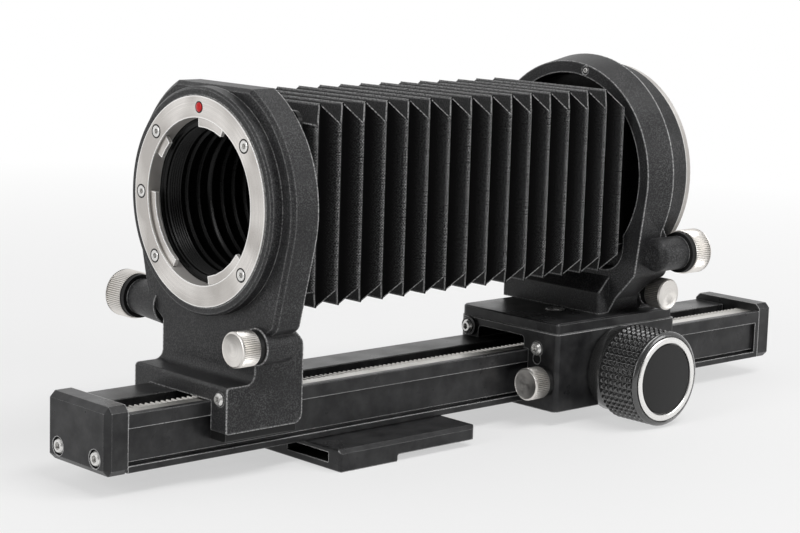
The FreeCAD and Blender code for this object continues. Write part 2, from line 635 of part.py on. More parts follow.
def tripod_foot():
    """Stepped foot plate: a thick front pad with two front windows, and a thinner tail."""
    rear = FOOT_FRONT + FOOT_LENGTH
    step = FOOT_FRONT + FOOT_STEP
    tail_z = RAIL_Z0 - FOOT_TAIL_THICKNESS
    side_view = [(x, z, FOOT_EDGE) for x, z in (
        (FOOT_FRONT, FOOT_BOTTOM), (step, FOOT_BOTTOM), (step, tail_z),
        (rear, tail_z), (rear, RAIL_Z0), (FOOT_FRONT, RAIL_Z0))]
    foot = prism("Y", -FOOT_HALF_WIDTH, FOOT_HALF_WIDTH, side_view)
    top_view = [(FOOT_FRONT, -FOOT_HALF_WIDTH, FOOT_FRONT_CORNER), (rear, -FOOT_HALF_WIDTH, FOOT_REAR_CORNER),
                (rear, FOOT_HALF_WIDTH, FOOT_REAR_CORNER), (FOOT_FRONT, FOOT_HALF_WIDTH, FOOT_FRONT_CORNER)]
    foot = foot.common(prism("Z", FOOT_BOTTOM, RAIL_Z0, top_view))
    for side in (-1, 1):
        edge = side * FOOT_HALF_WIDTH
        bevel = [(edge + side * OVERCUT, RAIL_Z0 + OVERCUT, 0),
                 (edge + side * OVERCUT, RAIL_Z0 - FOOT_BEVEL - OVERCUT, 0),
                 (edge - side * (FOOT_BEVEL + OVERCUT), RAIL_Z0 + OVERCUT, 0)]
        foot = foot.cut(prism("X", FOOT_FRONT - OVERCUT, rear + OVERCUT, bevel))
        y0, y1 = sorted((side * FOOT_WINDOW_INNER, side * FOOT_WINDOW_OUTER))
        window_z = FOOT_BOTTOM + FOOT_WINDOW_RISE
        foot = foot.cut(box(FOOT_FRONT - OVERCUT, FOOT_FRONT + FOOT_WINDOW_DEPTH, y0, y1,
                            window_z, window_z + FOOT_WINDOW_HEIGHT))
    foot = foot.cut(rod("Z", FOOT_BOTTOM, RAIL_Z0, TRIPOD_X, 0, TRIPOD_BORE / 2))
    for seat, direction in foot_screw_places():
        foot = foot.cut(screw_room(FOOT_SCREW, seat, direction, FOOT_SCREW[1] + 2 * HEAD_PROUD))
    return foot


# ---- front standard -----------------------------------------------------------------------------
def tangent_point(radius, y, z):
    """Where a line from (y, z) touches the plate's circle on its own side, below the axis."""
    dy, dz = y, z - AXIS_Z
    distance = math.hypot(dy, dz)
    turn = math.acos(radius / distance)
    angle = math.atan2(dz, dy) + (turn if y > 0 else -turn)
    return radius * math.cos(angle), AXIS_Z + radius * math.sin(angle)


def shield(start, end, radius, shoulder_half, shoulder_z, neck_half, neck_z, base_half, base_z):
    """Round plate with a tapering skirt that narrows through shoulders to a neck."""
    disc = rod("X", start, end, 0, AXIS_Z, radius)
    right = tangent_point(radius, shoulder_half, shoulder_z)
    left = tangent_point(radius, -shoulder_half, shoulder_z)
    corners = [(right[0], right[1], 0), (left[0], left[1], 0), (-shoulder_half, shoulder_z, SHOULDER_CORNER),
               (-neck_half, neck_z, NECK_CORNER), (-base_half, base_z, 0), (base_half, base_z, 0),
               (neck_half, neck_z, NECK_CORNER), (shoulder_half, shoulder_z, SHOULDER_CORNER)]
    return disc.fuse(prism("X", start, end, corners))


def gib_screw_places():
    """Seats of the small screws on the front faces of the saddle's legs; the far one is lower."""
    y = SADDLE_HALF_WIDTH - GIB_SCREW_INSET
    return [(Vector(SADDLE_FRONT + HEAD_PROUD, side * y, SADDLE_BOTTOM + rise), FRONTWARD)
            for side, rise in ((-1, GIB_SCREW_RISE), (1, FAR_GIB_SCREW_RISE))]


def front_standard_casting():
    plate = shield(PLATE_FRONT, PLATE_REAR, PLATE_RADIUS, SHOULDER_HALF_WIDTH, RAIL_TOP + SHOULDER_RISE,
                   SADDLE_HALF_WIDTH, RAIL_TOP + NECK_RISE, SADDLE_HALF_WIDTH, SADDLE_TOP - SADDLE_FILLET)
    above = AXIS_Z + PLATE_FLAT
    plate = plate.cut(box(PLATE_FRONT - OVERCUT, PLATE_REAR + OVERCUT, -PLATE_RADIUS, PLATE_RADIUS,
                          above, AXIS_Z + PLATE_RADIUS + OVERCUT))
    plate = plate.removeSplitter()
    rim = [edge for edge in plate.Edges if abs(edge.BoundBox.XMin - PLATE_FRONT) < TINY
           and abs(edge.BoundBox.XMax - PLATE_FRONT) < TINY and edge.BoundBox.ZMin > SADDLE_TOP]
    plate = plate.makeChamfer(CASTING_EDGE, rim)
    side_view = [(SADDLE_FRONT, SADDLE_BOTTOM, LEG_EDGE), (SADDLE_REAR, SADDLE_BOTTOM, REAR_CORNER),
                 (SADDLE_REAR, RAIL_TOP + NECK_RISE, NECK_ROUND), (PLATE_REAR, RAIL_TOP + NECK_SLOPE_RISE, 0),
                 (PLATE_FRONT, RAIL_TOP + NECK_SLOPE_RISE, 0), (PLATE_FRONT, SADDLE_TOP, SADDLE_FILLET),
                 (SADDLE_FRONT, SADDLE_TOP, CASTING_EDGE)]
    neck = prism("Y", -SADDLE_HALF_WIDTH, SADDLE_HALF_WIDTH, side_view)
    near_end = PLATE_FRONT - NEAR_BOSS_PROUD
    near_boss = rod("X", near_end, near_end + NEAR_BOSS_LENGTH, NEAR_LOCK_SEAT.y, NEAR_LOCK_SEAT.z,
                    NEAR_BOSS_RADIUS)
    round_end = [edge for edge in near_boss.Edges
                 if edge.BoundBox.XMin > near_end + NEAR_BOSS_LENGTH - TINY]
    near_boss = near_boss.makeFillet(NEAR_BOSS_ROUND, round_end)
    far_length = FAR_BOSS_REACH - FAR_BOSS_ROOT
    far_boss = turned([(0, 0), (FAR_BOSS_RADIUS, 0), (FAR_BOSS_END_RADIUS, far_length), (0, far_length)],
                      Vector(FAR_LOCK_SEAT.x, FAR_BOSS_ROOT, FAR_LOCK_SEAT.z), FARWARD)
    casting = plate.fuse([neck, near_boss, far_boss])
    casting = casting.cut(rod("X", PLATE_FRONT - OVERCUT, PLATE_REAR + OVERCUT, 0, AXIS_Z,
                              TUBE_RADIUS + SEAT_CLEARANCE))
    casting = casting.cut(rod("X", PLATE_FRONT, PLATE_FRONT + TUBE_FLANGE, 0, AXIS_Z,
                              TUBE_RADIUS + TUBE_FLANGE_REACH + SEAT_CLEARANCE))
    tunnel = RAIL_SIDE + RUN_CLEARANCE
    casting = casting.cut(box(SADDLE_FRONT - OVERCUT, SADDLE_REAR + OVERCUT, -tunnel, tunnel,
                              SADDLE_BOTTOM - OVERCUT, RAIL_TOP + RUN_CLEARANCE))
    for seat, direction in gib_screw_places():
        casting = casting.cut(screw_room(GIB_SCREW, seat, direction, FACE_SCREW_RECESS))
    casting = casting.cut(stud_room(NEAR_LOCK_SEAT, FRONTWARD))
    casting = casting.cut(stud_room(FAR_LOCK_SEAT, FARWARD))
    return casting.removeSplitter()


def gib(start, end, side, seat_z):
    """Angle strip under a leg: its upright flange slides in the rail's side way, under the lip."""
    inner = RAIL_SIDE - WAY_DEPTH + RUN_CLEARANCE
    outer = RAIL_SIDE + GIB_REACH
    face = RAIL_SIDE - RUN_CLEARANCE
    top = WAY_TOP - RUN_CLEARANCE
    section = [(side * inner, seat_z - GIB_THICKNESS, 0), (side * outer, seat_z - GIB_THICKNESS, LEG_EDGE),
               (side * outer, seat_z, 0), (side * face, seat_z, 0), (side * face, top, 0),
               (side * inner, top, 0)]
    return prism("X", start, end, section)


def lens_mount_housing():
    inner = THROAT_RADIUS + RING_COLLAR_WALL + SEAT_CLEARANCE
    seat = RING_RADIUS + SEAT_CLEARANCE
    seat_height = PLATE_FRONT - RING_REAR
    profile = [(inner, 0), (HOUSING_RADIUS, 0), (HOUSING_RADIUS, HOUSING_THICKNESS - HOUSING_EDGE),
               (HOUSING_RADIUS - HOUSING_EDGE, HOUSING_THICKNESS), (seat, HOUSING_THICKNESS),
               (seat, seat_height), (inner, seat_height)]
    housing = turned(profile, Vector(PLATE_FRONT, 0, AXIS_Z), FRONTWARD)
    for place, direction in ring_screw_places():
        housing = housing.cut(screw_room(RING_SCREW, place, direction, 0))
    return housing


def ring_screw_places():
    x = RING_FRONT + RING_SCREW[1] + DOT_SUNK
    places = []
    for degrees in RING_SCREW_ANGLES:
        y, z = polar(RING_RADIUS - RING_SCREW_INSET, degrees)
        places.append((Vector(x, y, z), FRONTWARD))
    return places


def sector(start, end, inner, outer, first, last):
    """Ring sector around the optical axis between two angles."""
    corners = []
    steps = max(2, round((last - first) / SECTOR_STEP))
    for radius, turns in ((outer, range(steps + 1)), (inner, range(steps, -1, -1))):
        for i in turns:
            corners.append(polar(radius, first + (last - first) * i / steps))
    wire = Part.makePolygon([Vector(start, y, z) for y, z in corners + corners[:1]])
    return Part.Face(wire).extrude(Vector(end - start, 0, 0))


def lens_bayonet_ring():
    """Steel mount ring with a collar down its throat and four lugs a little behind its face."""
    ring = tube("X", RING_FRONT, RING_REAR, 0, AXIS_Z, RING_RADIUS, THROAT_RADIUS)
    collar = tube("X", RING_REAR, PLATE_FRONT - SEAT_CLEARANCE, 0, AXIS_Z,
                  THROAT_RADIUS + RING_COLLAR_WALL, THROAT_RADIUS)
    lugs = [sector(RING_FRONT + LUG_SUNK, RING_REAR, THROAT_RADIUS - LUG_REACH, THROAT_RADIUS + LUG_ROOT,
                   first, last) for first, last in LUG_SPANS]
    ring = ring.fuse([collar] + lugs).removeSplitter()
    for seat, direction in ring_screw_places():
        ring = ring.cut(screw_room(RING_SCREW, seat, direction, RING_SCREW[1] + DOT_SUNK))
    y, z = polar(RING_RADIUS - DOT_INSET, TOP_ANGLE)
    return ring.cut(rod("X", RING_FRONT, RING_FRONT + 2 * DOT_SUNK, y, z, DOT_RADIUS + SEAT_CLEARANCE))


def alignment_dot():
    y, z = polar(RING_RADIUS - DOT_INSET, TOP_ANGLE)
    return rod("X", RING_FRONT + DOT_SUNK, RING_FRONT + 2 * DOT_SUNK, y, z, DOT_RADIUS)


def light_baffle_tube():
    """Flanged tube behind the throat; it shades the innermost folds."""
    bore = TUBE_RADIUS - TUBE_WALL
    flange = TUBE_RADIUS + TUBE_FLANGE_REACH
    profile = [(bore, 0), (flange, 0), (flange, -TUBE_FLANGE), (TUBE_RADIUS, -TUBE_FLANGE),
               (TUBE_RADIUS, -TUBE_LENGTH), (bore, -TUBE_LENGTH)]
    return turned(profile, Vector(PLATE_FRONT, 0, AXIS_Z), FRONTWARD)


def square_around_axis(half, corner):
    return [(-half, AXIS_Z - half, corner), (half, AXIS_Z - half, corner),
            (half, AXIS_Z + half, corner), (-half, AXIS_Z + half, corner)]


def front_bellows_frame():
    outline_corners = square_around_axis(BELLOWS_COLLAR + FRAME_WALL, FRAME_CORNER)
    outer = prism("X", PLATE_REAR, BELLOWS_START, outline_corners)
    return outer.cut(rod("X", PLATE_REAR, BELLOWS_START, 0, AXIS_Z, TUBE_RADIUS + SEAT_CLEARANCE))


# ---- bellows ------------------------------------------------------------------------------------
def pleat_sections(inset):
    """Place, half width and half height at each half fold; side folds and top folds alternate."""
    half_folds = 2 * BELLOWS_FOLDS
    step = (PLEATS_END - BELLOWS_START) / half_folds
    sections = [(BELLOWS_START, BELLOWS_COLLAR, BELLOWS_COLLAR)]
    for i in range(1, half_folds):
        x = BELLOWS_START + i * step
        if i % 2:
            sections.append((x, BELLOWS_HALF, BELLOWS_HALF - TOP_FOLD_DEPTH))
        else:
            sections.append((x, BELLOWS_HALF - SIDE_FOLD_DEPTH, BELLOWS_HALF))
    sections.append((PLEATS_END, REAR_COLLAR, REAR_COLLAR))
    sections.append((BELLOWS_END, REAR_COLLAR, REAR_COLLAR))
    return [(x, half_y - inset, half_z - inset) for x, half_y, half_z in sections]


def pleated_solid(inset):
    loops = []
    for x, half_y, half_z in pleat_sections(inset):
        loops.append([Vector(x, -half_y, AXIS_Z - half_z), Vector(x, half_y, AXIS_Z - half_z),
                      Vector(x, half_y, AXIS_Z + half_z), Vector(x, -half_y, AXIS_Z + half_z)])
    faces = [Part.Face(Part.makePolygon(loop + loop[:1])) for loop in (loops[0], loops[-1])]
    for before, after in zip(loops, loops[1:]):
        for i in range(len(before)):
            j = (i + 1) % len(before)
            side = [before[i], before[j], after[j], after[i]]
            faces.append(Part.Face(Part.makePolygon(side + side[:1])))
    solid = Part.makeSolid(Part.makeShell(faces))
    if solid.Volume < 0:
        solid.reverse()
    return solid


def bellows():
    return pleated_solid(0).cut(pleated_solid(CLOTH))


# ---- rear carriage ------------------------------------------------------------------------------
def block_screw_places():
    """The two screws on the block's front: far one in its lug, near one in the cheek."""
    far = Vector(BLOCK_FRONT - FAR_LUG_PROUD + HEAD_PROUD, TUNNEL_FAR + FAR_SCREW_SIDE,
                 RAIL_TOP + FAR_SCREW_RISE)
    near = Vector(BLOCK_FRONT + HEAD_PROUD, -RAIL_SIDE - NEAR_SCREW_SIDE, RAIL_TOP + NEAR_SCREW_RISE)
    return [(far, FRONTWARD), (near, FRONTWARD)]


def plate_screw_places():
    seat_z = COVER_TOP - PLATE_SCREW[1] - HEAD_PROUD
    return [(Vector(BLOCK_FRONT + PLATE_SCREW_SETBACK, -PLATE_SCREW_SIDE, seat_z), UPWARD)]


def carriage_block():
    """Box slide around the rail: geared near cheek, thin far cheek, floor and slotted roof."""
    x0, x1 = BLOCK_FRONT, BLOCK_REAR
    top_view = [(x0, -BLOCK_NEAR, BLOCK_NEAR_CORNER), (x1, -BLOCK_NEAR, BLOCK_NEAR_CORNER),
                (x1, BLOCK_FAR, BLOCK_FAR_CORNER), (x0, BLOCK_FAR, BLOCK_FAR_CORNER)]
    block = prism("Z", BLOCK_BOTTOM, BLOCK_TOP, top_view)
    side = RAIL_SIDE + RUN_CLEARANCE
    block = block.cut(box(x0 - OVERCUT, x1 + OVERCUT, -side, side,
                          RAIL_Z0 - RUN_CLEARANCE, RAIL_TOP + RUN_CLEARANCE))
    roof = RAIL_TOP + TUNNEL_RISE
    tunnel = [(-TUNNEL_NEAR, RAIL_TOP, 0), (TUNNEL_FAR, RAIL_TOP, 0), (TUNNEL_FAR, roof, TUNNEL_CORNER),
              (-TUNNEL_NEAR, roof, TUNNEL_CORNER)]
    block = block.cut(prism("X", x0 - OVERCUT, x1 + OVERCUT, tunnel))
    lug_y = TEETH_FAR + GEAR_POCKET_PLAY
    lug = box(SHAFT_X - BEARING_LUG_HALF, SHAFT_X + BEARING_LUG_HALF, lug_y, lug_y + BEARING_LUG,
              RAIL_TOP + 2 * RUN_CLEARANCE, BLOCK_TOP)
    far_seat, near_seat = (seat for seat, _ in block_screw_places())
    far_lug = rod("X", x0 - FAR_LUG_PROUD, x0 + FAR_LUG_LENGTH, far_seat.y, far_seat.z, FAR_LUG_RADIUS)
    block = block.fuse([lug, far_lug])
    block = block.cut(rod("X", x0, x0 + FACE_SCREW_RECESS, near_seat.y, near_seat.z - KEYHOLE_DROP,
                          KEYHOLE_RADIUS))
    pinion_half = PINION_TIP + GEAR_POCKET_PLAY
    block = block.cut(box(SHAFT_X - pinion_half, SHAFT_X + pinion_half, TEETH_NEAR - GEAR_POCKET_PLAY,
                          lug_y, RAIL_TOP, BLOCK_TOP))
    gear_half = GEAR_TIP + GEAR_POCKET_PLAY
    pocket_near, pocket_far = GEAR_NEAR - GEAR_POCKET_PLAY, GEAR_FAR + GEAR_POCKET_PLAY
    block = block.cut(box(SHAFT_X - gear_half, SHAFT_X + gear_half, pocket_near, pocket_far,
                          KNOB_Z, BLOCK_TOP))
    block = block.cut(rod("Y", pocket_near, pocket_far, SHAFT_X, KNOB_Z, gear_half))
    block = block.cut(rod("Y", -BLOCK_NEAR, -RAIL_SIDE, SHAFT_X, KNOB_Z, SHAFT_RADIUS + SHAFT_CLEARANCE))
    block = block.cut(rod("Y", -BLOCK_NEAR + ARBOR_END_WALL, lug_y + BEARING_LUG, SHAFT_X, ARBOR_Z,
                          ARBOR_RADIUS + SHAFT_CLEARANCE))
    for seat, direction in block_screw_places():
        block = block.cut(screw_room(BLOCK_SCREW, seat, direction, FACE_SCREW_RECESS))
    for seat, direction in plate_screw_places():
        block = block.cut(screw_room(PLATE_SCREW, seat, direction, 0))
    block = block.cut(carriage_gib_room(-1)).cut(carriage_gib_room(1))
    return block.cut(stud_room(BLOCK_LOCK_SEAT, FRONTWARD))


def carriage_gib_section(side, play):
    inner = RAIL_SIDE - WAY_DEPTH + RUN_CLEARANCE
    outer = RAIL_SIDE + CARRIAGE_GIB_SUNK + play
    low = WAY_BOTTOM + CARRIAGE_GIB_RISE - play
    top = WAY_TOP - RUN_CLEARANCE + play
    y0, y1 = sorted((side * inner, side * outer))
    return y0, y1, low, top


def carriage_gib_room(side):
    y0, y1, low, top = carriage_gib_section(side, SEAT_CLEARANCE)
    return box(BLOCK_FRONT + CARRIAGE_GIB_INSET, BLOCK_REAR - CARRIAGE_GIB_INSET, y0, y1, low, top)


def carriage_gib(side):
    """Bearing strip let into a cheek; it runs in the rail's side way."""
    y0, y1, low, top = carriage_gib_section(side, 0)
    inset = CARRIAGE_GIB_INSET + SEAT_CLEARANCE
    strip = box(BLOCK_FRONT + inset, BLOCK_REAR - inset, y0, y1, low, top)
    if side < 0:
        strip = strip.cut(rod("Y", y0, y1, SHAFT_X, KNOB_Z, SHAFT_RADIUS + 2 * SHAFT_CLEARANCE))
    return strip


def carriage_top_plate():
    x0, x1 = BLOCK_FRONT + PLATE_COVER_INSET, BLOCK_REAR - PLATE_COVER_INSET
    near, far = -BLOCK_NEAR + PLATE_COVER_INSET, BLOCK_FAR - PLATE_COVER_INSET
    corners = [(x0, near, PLATE_COVER_NEAR_CORNER), (x1, near, PLATE_COVER_NEAR_CORNER),
               (x1, far, PLATE_COVER_CORNER), (x0, far, PLATE_COVER_CORNER)]
    plate = prism("Z", BLOCK_TOP, COVER_TOP, corners)
    rim = [edge for edge in plate.Edges if edge.BoundBox.ZMin > COVER_TOP - TINY]
    plate = plate.makeChamfer(PLATE_COVER_EDGE, rim)
    pinion_half = PINION_TIP + GEAR_POCKET_PLAY
    top = ARBOR_Z + pinion_half
    if top > BLOCK_TOP:
        for near_y, far_y in ((GEAR_NEAR, GEAR_FAR), (TEETH_NEAR, TEETH_FAR)):
            plate = plate.cut(box(SHAFT_X - pinion_half, SHAFT_X + pinion_half, near_y - GEAR_POCKET_PLAY,
                                  far_y + GEAR_POCKET_PLAY, BLOCK_TOP - OVERCUT, top))
    for seat, direction in plate_screw_places():
        plate = plate.cut(screw_room(PLATE_SCREW, seat, direction, PLATE_SCREW[1] + 2 * HEAD_PROUD))
    return plate


def pinion_arbor():
    """Long arbor: one pinion rolls on the rack, the other meets the focusing gear."""
    lug_y = TEETH_FAR + GEAR_POCKET_PLAY
    start = -BLOCK_NEAR + ARBOR_END_WALL + SHAFT_END_GAP
    shaft = rod("Y", start, lug_y + BEARING_LUG, SHAFT_X, ARBOR_Z, ARBOR_RADIUS)
    rack_pinion = along_y(gear_outline(PINION_TEETH, math.pi / 2, RACK_TOOTH_WIDTH - PINION_OVERLAP),
                          TEETH_NEAR + PINION_OVERLAP / 2, SHAFT_X, ARBOR_Z)
    cheek_pinion = along_y(gear_outline(PINION_TEETH, math.pi / 2, CHEEK_GEAR_WIDTH),
                           GEAR_NEAR, SHAFT_X, ARBOR_Z)
    return shaft.fuse([rack_pinion, cheek_pinion])


def focus_shaft():
    """Focusing shaft with its gear; a gap between two of its teeth faces the arbor above."""
    start = -BLOCK_NEAR - KNOB_HUB_LENGTH - SHAFT_INTO_KNOB
    shaft = rod("Y", start, -RAIL_SIDE - SHAFT_END_GAP, SHAFT_X, KNOB_Z, SHAFT_RADIUS)
    half_tooth = math.pi / GEAR_TEETH
    gear = along_y(gear_outline(GEAR_TEETH, -math.pi / 2 + half_tooth, CHEEK_GEAR_WIDTH),
                   GEAR_NEAR, SHAFT_X, KNOB_Z)
    return shaft.fuse(gear)


KNOB_BACK = Vector(SHAFT_X, -BLOCK_NEAR - WASHER_GAP, KNOB_Z)


def focus_knob():
    """Black focusing knob: a plain hub, a square-knurled grip and a face recessed for its trim."""
    top = KNOB_HUB_LENGTH + KNOB_LENGTH
    inner = KNOB_RADIUS - KNOB_GROOVE_DEPTH
    profile = [(0, 0), (KNOB_HUB_RADIUS, 0), (KNOB_HUB_RADIUS, KNOB_HUB_LENGTH),
               (inner, KNOB_HUB_LENGTH), (KNOB_RADIUS, KNOB_HUB_LENGTH + KNOB_GROOVE_DEPTH)]
    band = (KNOB_LENGTH - KNOB_GROOVE_DEPTH - KNOB_FACE_BEVEL) / KNOB_GROOVES
    for i in range(1, KNOB_GROOVES):
        z = KNOB_HUB_LENGTH + KNOB_GROOVE_DEPTH + i * band
        profile += [(KNOB_RADIUS, z - KNOB_GROOVE_HALF), (inner, z), (KNOB_RADIUS, z + KNOB_GROOVE_HALF)]
    recess = TRIM_OUTER_RADIUS + SEAT_CLEARANCE
    floor = top - TRIM_THICKNESS + TRIM_PROUD
    profile += [(KNOB_RADIUS, top - KNOB_FACE_BEVEL), (KNOB_RADIUS - KNOB_FACE_BEVEL, top),
                (recess, top), (recess, floor), (0, floor)]
    grip = turned(profile)
    flutes = star(KNOB_RADIUS, KNOB_GROOVE_DEPTH, KNOB_RIBS, KNOB_LENGTH)
    flutes.translate(Vector(0, 0, KNOB_HUB_LENGTH))
    hub = Part.makeCylinder(KNOB_HUB_RADIUS, KNOB_HUB_LENGTH)
    grip = grip.common(flutes.fuse(hub))
    bore = Part.makeCylinder(SHAFT_RADIUS + SEAT_CLEARANCE, KNOB_HUB_LENGTH + SHAFT_INTO_KNOB + WASHER_GAP)
    return placed(grip.cut(bore), KNOB_BACK, NEARWARD)


def focus_trim_ring():
    high = KNOB_HUB_LENGTH + KNOB_LENGTH + TRIM_PROUD
    low = high - TRIM_THICKNESS
    profile = [(TRIM_INNER_RADIUS, low), (TRIM_OUTER_RADIUS, low), (TRIM_OUTER_RADIUS, high - TRIM_EDGE),
               (TRIM_OUTER_RADIUS - TRIM_EDGE, high), (TRIM_INNER_RADIUS + TRIM_EDGE, high),
               (TRIM_INNER_RADIUS, high - TRIM_EDGE)]
    return turned(profile, KNOB_BACK, NEARWARD)


def focus_knob_disc():
    low = KNOB_HUB_LENGTH + KNOB_LENGTH - TRIM_THICKNESS + TRIM_PROUD
    disc = Part.makeCylinder(TRIM_INNER_RADIUS - SEAT_CLEARANCE, DISC_THICKNESS, Vector(0, 0, low))
    return placed(disc, KNOB_BACK, NEARWARD)


# ---- rear standard ------------------------------------------------------------------------------
def flared_arch():
    """Deep front rim of the rear standard, flaring towards the camera, open at the middle."""
    front = shield(ARCH_FRONT, ARCH_REAR, ARCH_FRONT_RADIUS,
                   ARCH_SHOULDER_HALF, RAIL_TOP + ARCH_SHOULDER_RISE,
                   REAR_NECK_HALF, RAIL_TOP + REAR_NECK_RISE, REAR_BASE_HALF, COVER_TOP)
    flare = turned([(0, 0), (ARCH_FRONT_RADIUS, 0), (ARCH_REAR_RADIUS, ARCH_DEPTH), (0, ARCH_DEPTH)],
                   Vector(ARCH_FRONT, 0, AXIS_Z), REARWARD)
    return front.fuse(flare)


def rear_standard_casting():
    arch = flared_arch()
    neck_rear = ARCH_FRONT + REAR_NECK_DEPTH
    base_rear = ARCH_FRONT + REAR_BASE_DEPTH
    base_top = RAIL_TOP + REAR_BASE_RISE
    far_half = [(ARCH_SHOULDER_HALF + REAR_SKIRT_WIDEN, AXIS_Z - REAR_SKIRT_DROP, 0),
                (ARCH_SHOULDER_HALF, RAIL_TOP + ARCH_SHOULDER_RISE, SHOULDER_CORNER),
                (REAR_NECK_HALF, RAIL_TOP + REAR_NECK_RISE, NECK_CORNER), (REAR_BASE_HALF, COVER_TOP, 0)]
    near_half = [(-y, z, corner) for y, z, corner in far_half]
    neck = prism("X", ARCH_FRONT + NECK_INSET, neck_rear, near_half + far_half[::-1])
    fade = [(ARCH_REAR, AXIS_Z - REAR_SKIRT_DROP, 0), (neck_rear, AXIS_Z - HORN_FOOT_DROP, 0),
            (neck_rear + OVERCUT, AXIS_Z, 0), (ARCH_REAR, AXIS_Z, 0)]
    neck = neck.cut(prism("Y", -2 * ARCH_SHOULDER_HALF, 2 * ARCH_SHOULDER_HALF, fade))
    base_front = ARCH_FRONT - BASE_FORWARD
    base = prism("Y", -REAR_BASE_HALF, REAR_BASE_HALF,
                 [(base_front, COVER_TOP, 0), (base_rear, COVER_TOP, BASE_EDGE),
                  (base_rear, base_top, BASE_ROUND), (neck_rear, base_top + BASE_SLOPE, 0),
                  (ARCH_FRONT, COVER_TOP + BASE_SILL_RISE, 0),
                  (base_front, COVER_TOP + BASE_FRONT_RISE, BASE_EDGE)])
    top_view = [(base_front, -REAR_BASE_HALF, BASE_CORNER), (base_rear, -REAR_BASE_HALF, 0),
                (base_rear, REAR_BASE_HALF, 0), (base_front, REAR_BASE_HALF, BASE_CORNER)]
    base = base.common(prism("Z", COVER_TOP, AXIS_Z, top_view))
    lock = REAR_LOCK_SEAT
    boss_front = ARCH_FRONT + REAR_LOCK_BOSS_START
    lock_boss = rod("X", boss_front, boss_front + REAR_LOCK_BOSS_LENGTH, lock.y, lock.z, REAR_LOCK_BOSS)
    round_end = [edge for edge in lock_boss.Edges if edge.BoundBox.XMax < boss_front + TINY]
    lock_boss = lock_boss.makeFillet(REAR_LOCK_BOSS_ROUND, round_end)
    base_lock = BASE_LOCK_SEAT
    base_boss = rod("Y", -BASE_LOCK_REACH, -REAR_BASE_HALF + OVERCUT, base_lock.x, base_lock.z,
                    BASE_LOCK_BOSS)
    casting = arch.fuse([neck, base, base_boss])
    casting = casting.cut(rod("X", ARCH_REAR, FLANGE_REAR + BAYONET_LENGTH, 0, AXIS_Z,
                              MOUNT_RADIUS + HORN_CLEARANCE))
    casting = casting.fuse(lock_boss)
    recess_end = ARCH_FRONT + WINDOW_DEPTH
    casting = casting.cut(rod("X", ARCH_FRONT - OVERCUT, recess_end, 0, AXIS_Z, ARCH_OPENING))
    sill = AXIS_Z - WINDOW_DROP
    window = [(-WINDOW_HALF, sill, WINDOW_CORNER), (WINDOW_HALF, sill, WINDOW_CORNER),
              (WINDOW_HALF, AXIS_Z, 0), (-WINDOW_HALF, AXIS_Z, 0)]
    casting = casting.cut(prism("X", ARCH_FRONT - OVERCUT, recess_end, window))
    casting = casting.cut(rod("X", ARCH_FRONT, ARCH_REAR, 0, AXIS_Z, MOUNT_SPIGOT_RADIUS + SHAFT_CLEARANCE))
    for seat, direction in top_screw_places():
        casting = casting.cut(screw_room(TOP_SCREW, seat, direction, TOP_SCREW[1]))
    casting = casting.cut(rod("Y", -ARCH_REAR_RADIUS, -BASE_LOCK_REACH, base_lock.x, base_lock.z,
                              SMALL_KNOB_RADIUS + SPOT_FACE_PLAY))
    casting = casting.cut(stud_room(lock, REARWARD)).cut(stud_room(base_lock, NEARWARD))
    return casting.removeSplitter()


def top_screw_places():
    y, z = polar(TOP_SCREW_RADIUS, TOP_SCREW_ANGLE)
    return [(Vector(ARCH_FRONT + TOP_SCREW[1], y, z), FRONTWARD)]


def rear_bellows_frame():
    """Round retaining ring let into the arch, with the square mouth that the bellows ends on."""
    end = BELLOWS_END + FRAME_THICKNESS
    ring = rod("X", BELLOWS_END, end, 0, AXIS_Z, FRAME_RING_RADIUS)
    mouth = square_around_axis(REAR_COLLAR - CLOTH - FRAME_MOUTH_LIP, FRAME_MOUTH_CORNER)
    return ring.cut(prism("X", BELLOWS_END, end, mouth))


# ---- revolving camera mount ---------------------------------------------------------------------
def camera_mount_housing():
    """Black ring that turns in the rear standard, on a spigot that fits its bore."""
    start = ARCH_REAR + RUN_CLEARANCE
    spigot = start - MOUNT_SPIGOT_LENGTH
    edge = MOUNT_RADIUS - MOUNT_EDGE
    profile = [(REAR_THROAT_RADIUS, spigot), (MOUNT_SPIGOT_RADIUS, spigot), (MOUNT_SPIGOT_RADIUS, start),
               (edge, start), (MOUNT_RADIUS, start + MOUNT_EDGE), (MOUNT_RADIUS, MOUNT_REAR - MOUNT_EDGE),
               (edge, MOUNT_REAR), (REAR_THROAT_RADIUS, MOUNT_REAR)]
    housing = turned(profile, Vector(0, 0, AXIS_Z), REARWARD)
    for seat, direction in flange_screw_places():
        housing = housing.cut(screw_room(RING_SCREW, seat, direction, 0))
    return housing


def flange_screw_places():
    x = FLANGE_REAR - RING_SCREW[1] - DOT_SUNK
    places = []
    for i in range(FLANGE_SCREWS):
        y, z = polar(FLANGE_RADIUS - FLANGE_SCREW_INSET, FLANGE_SCREW_TURN + i * 360 / FLANGE_SCREWS)
        places.append((Vector(x, y, z), REARWARD))
    return places


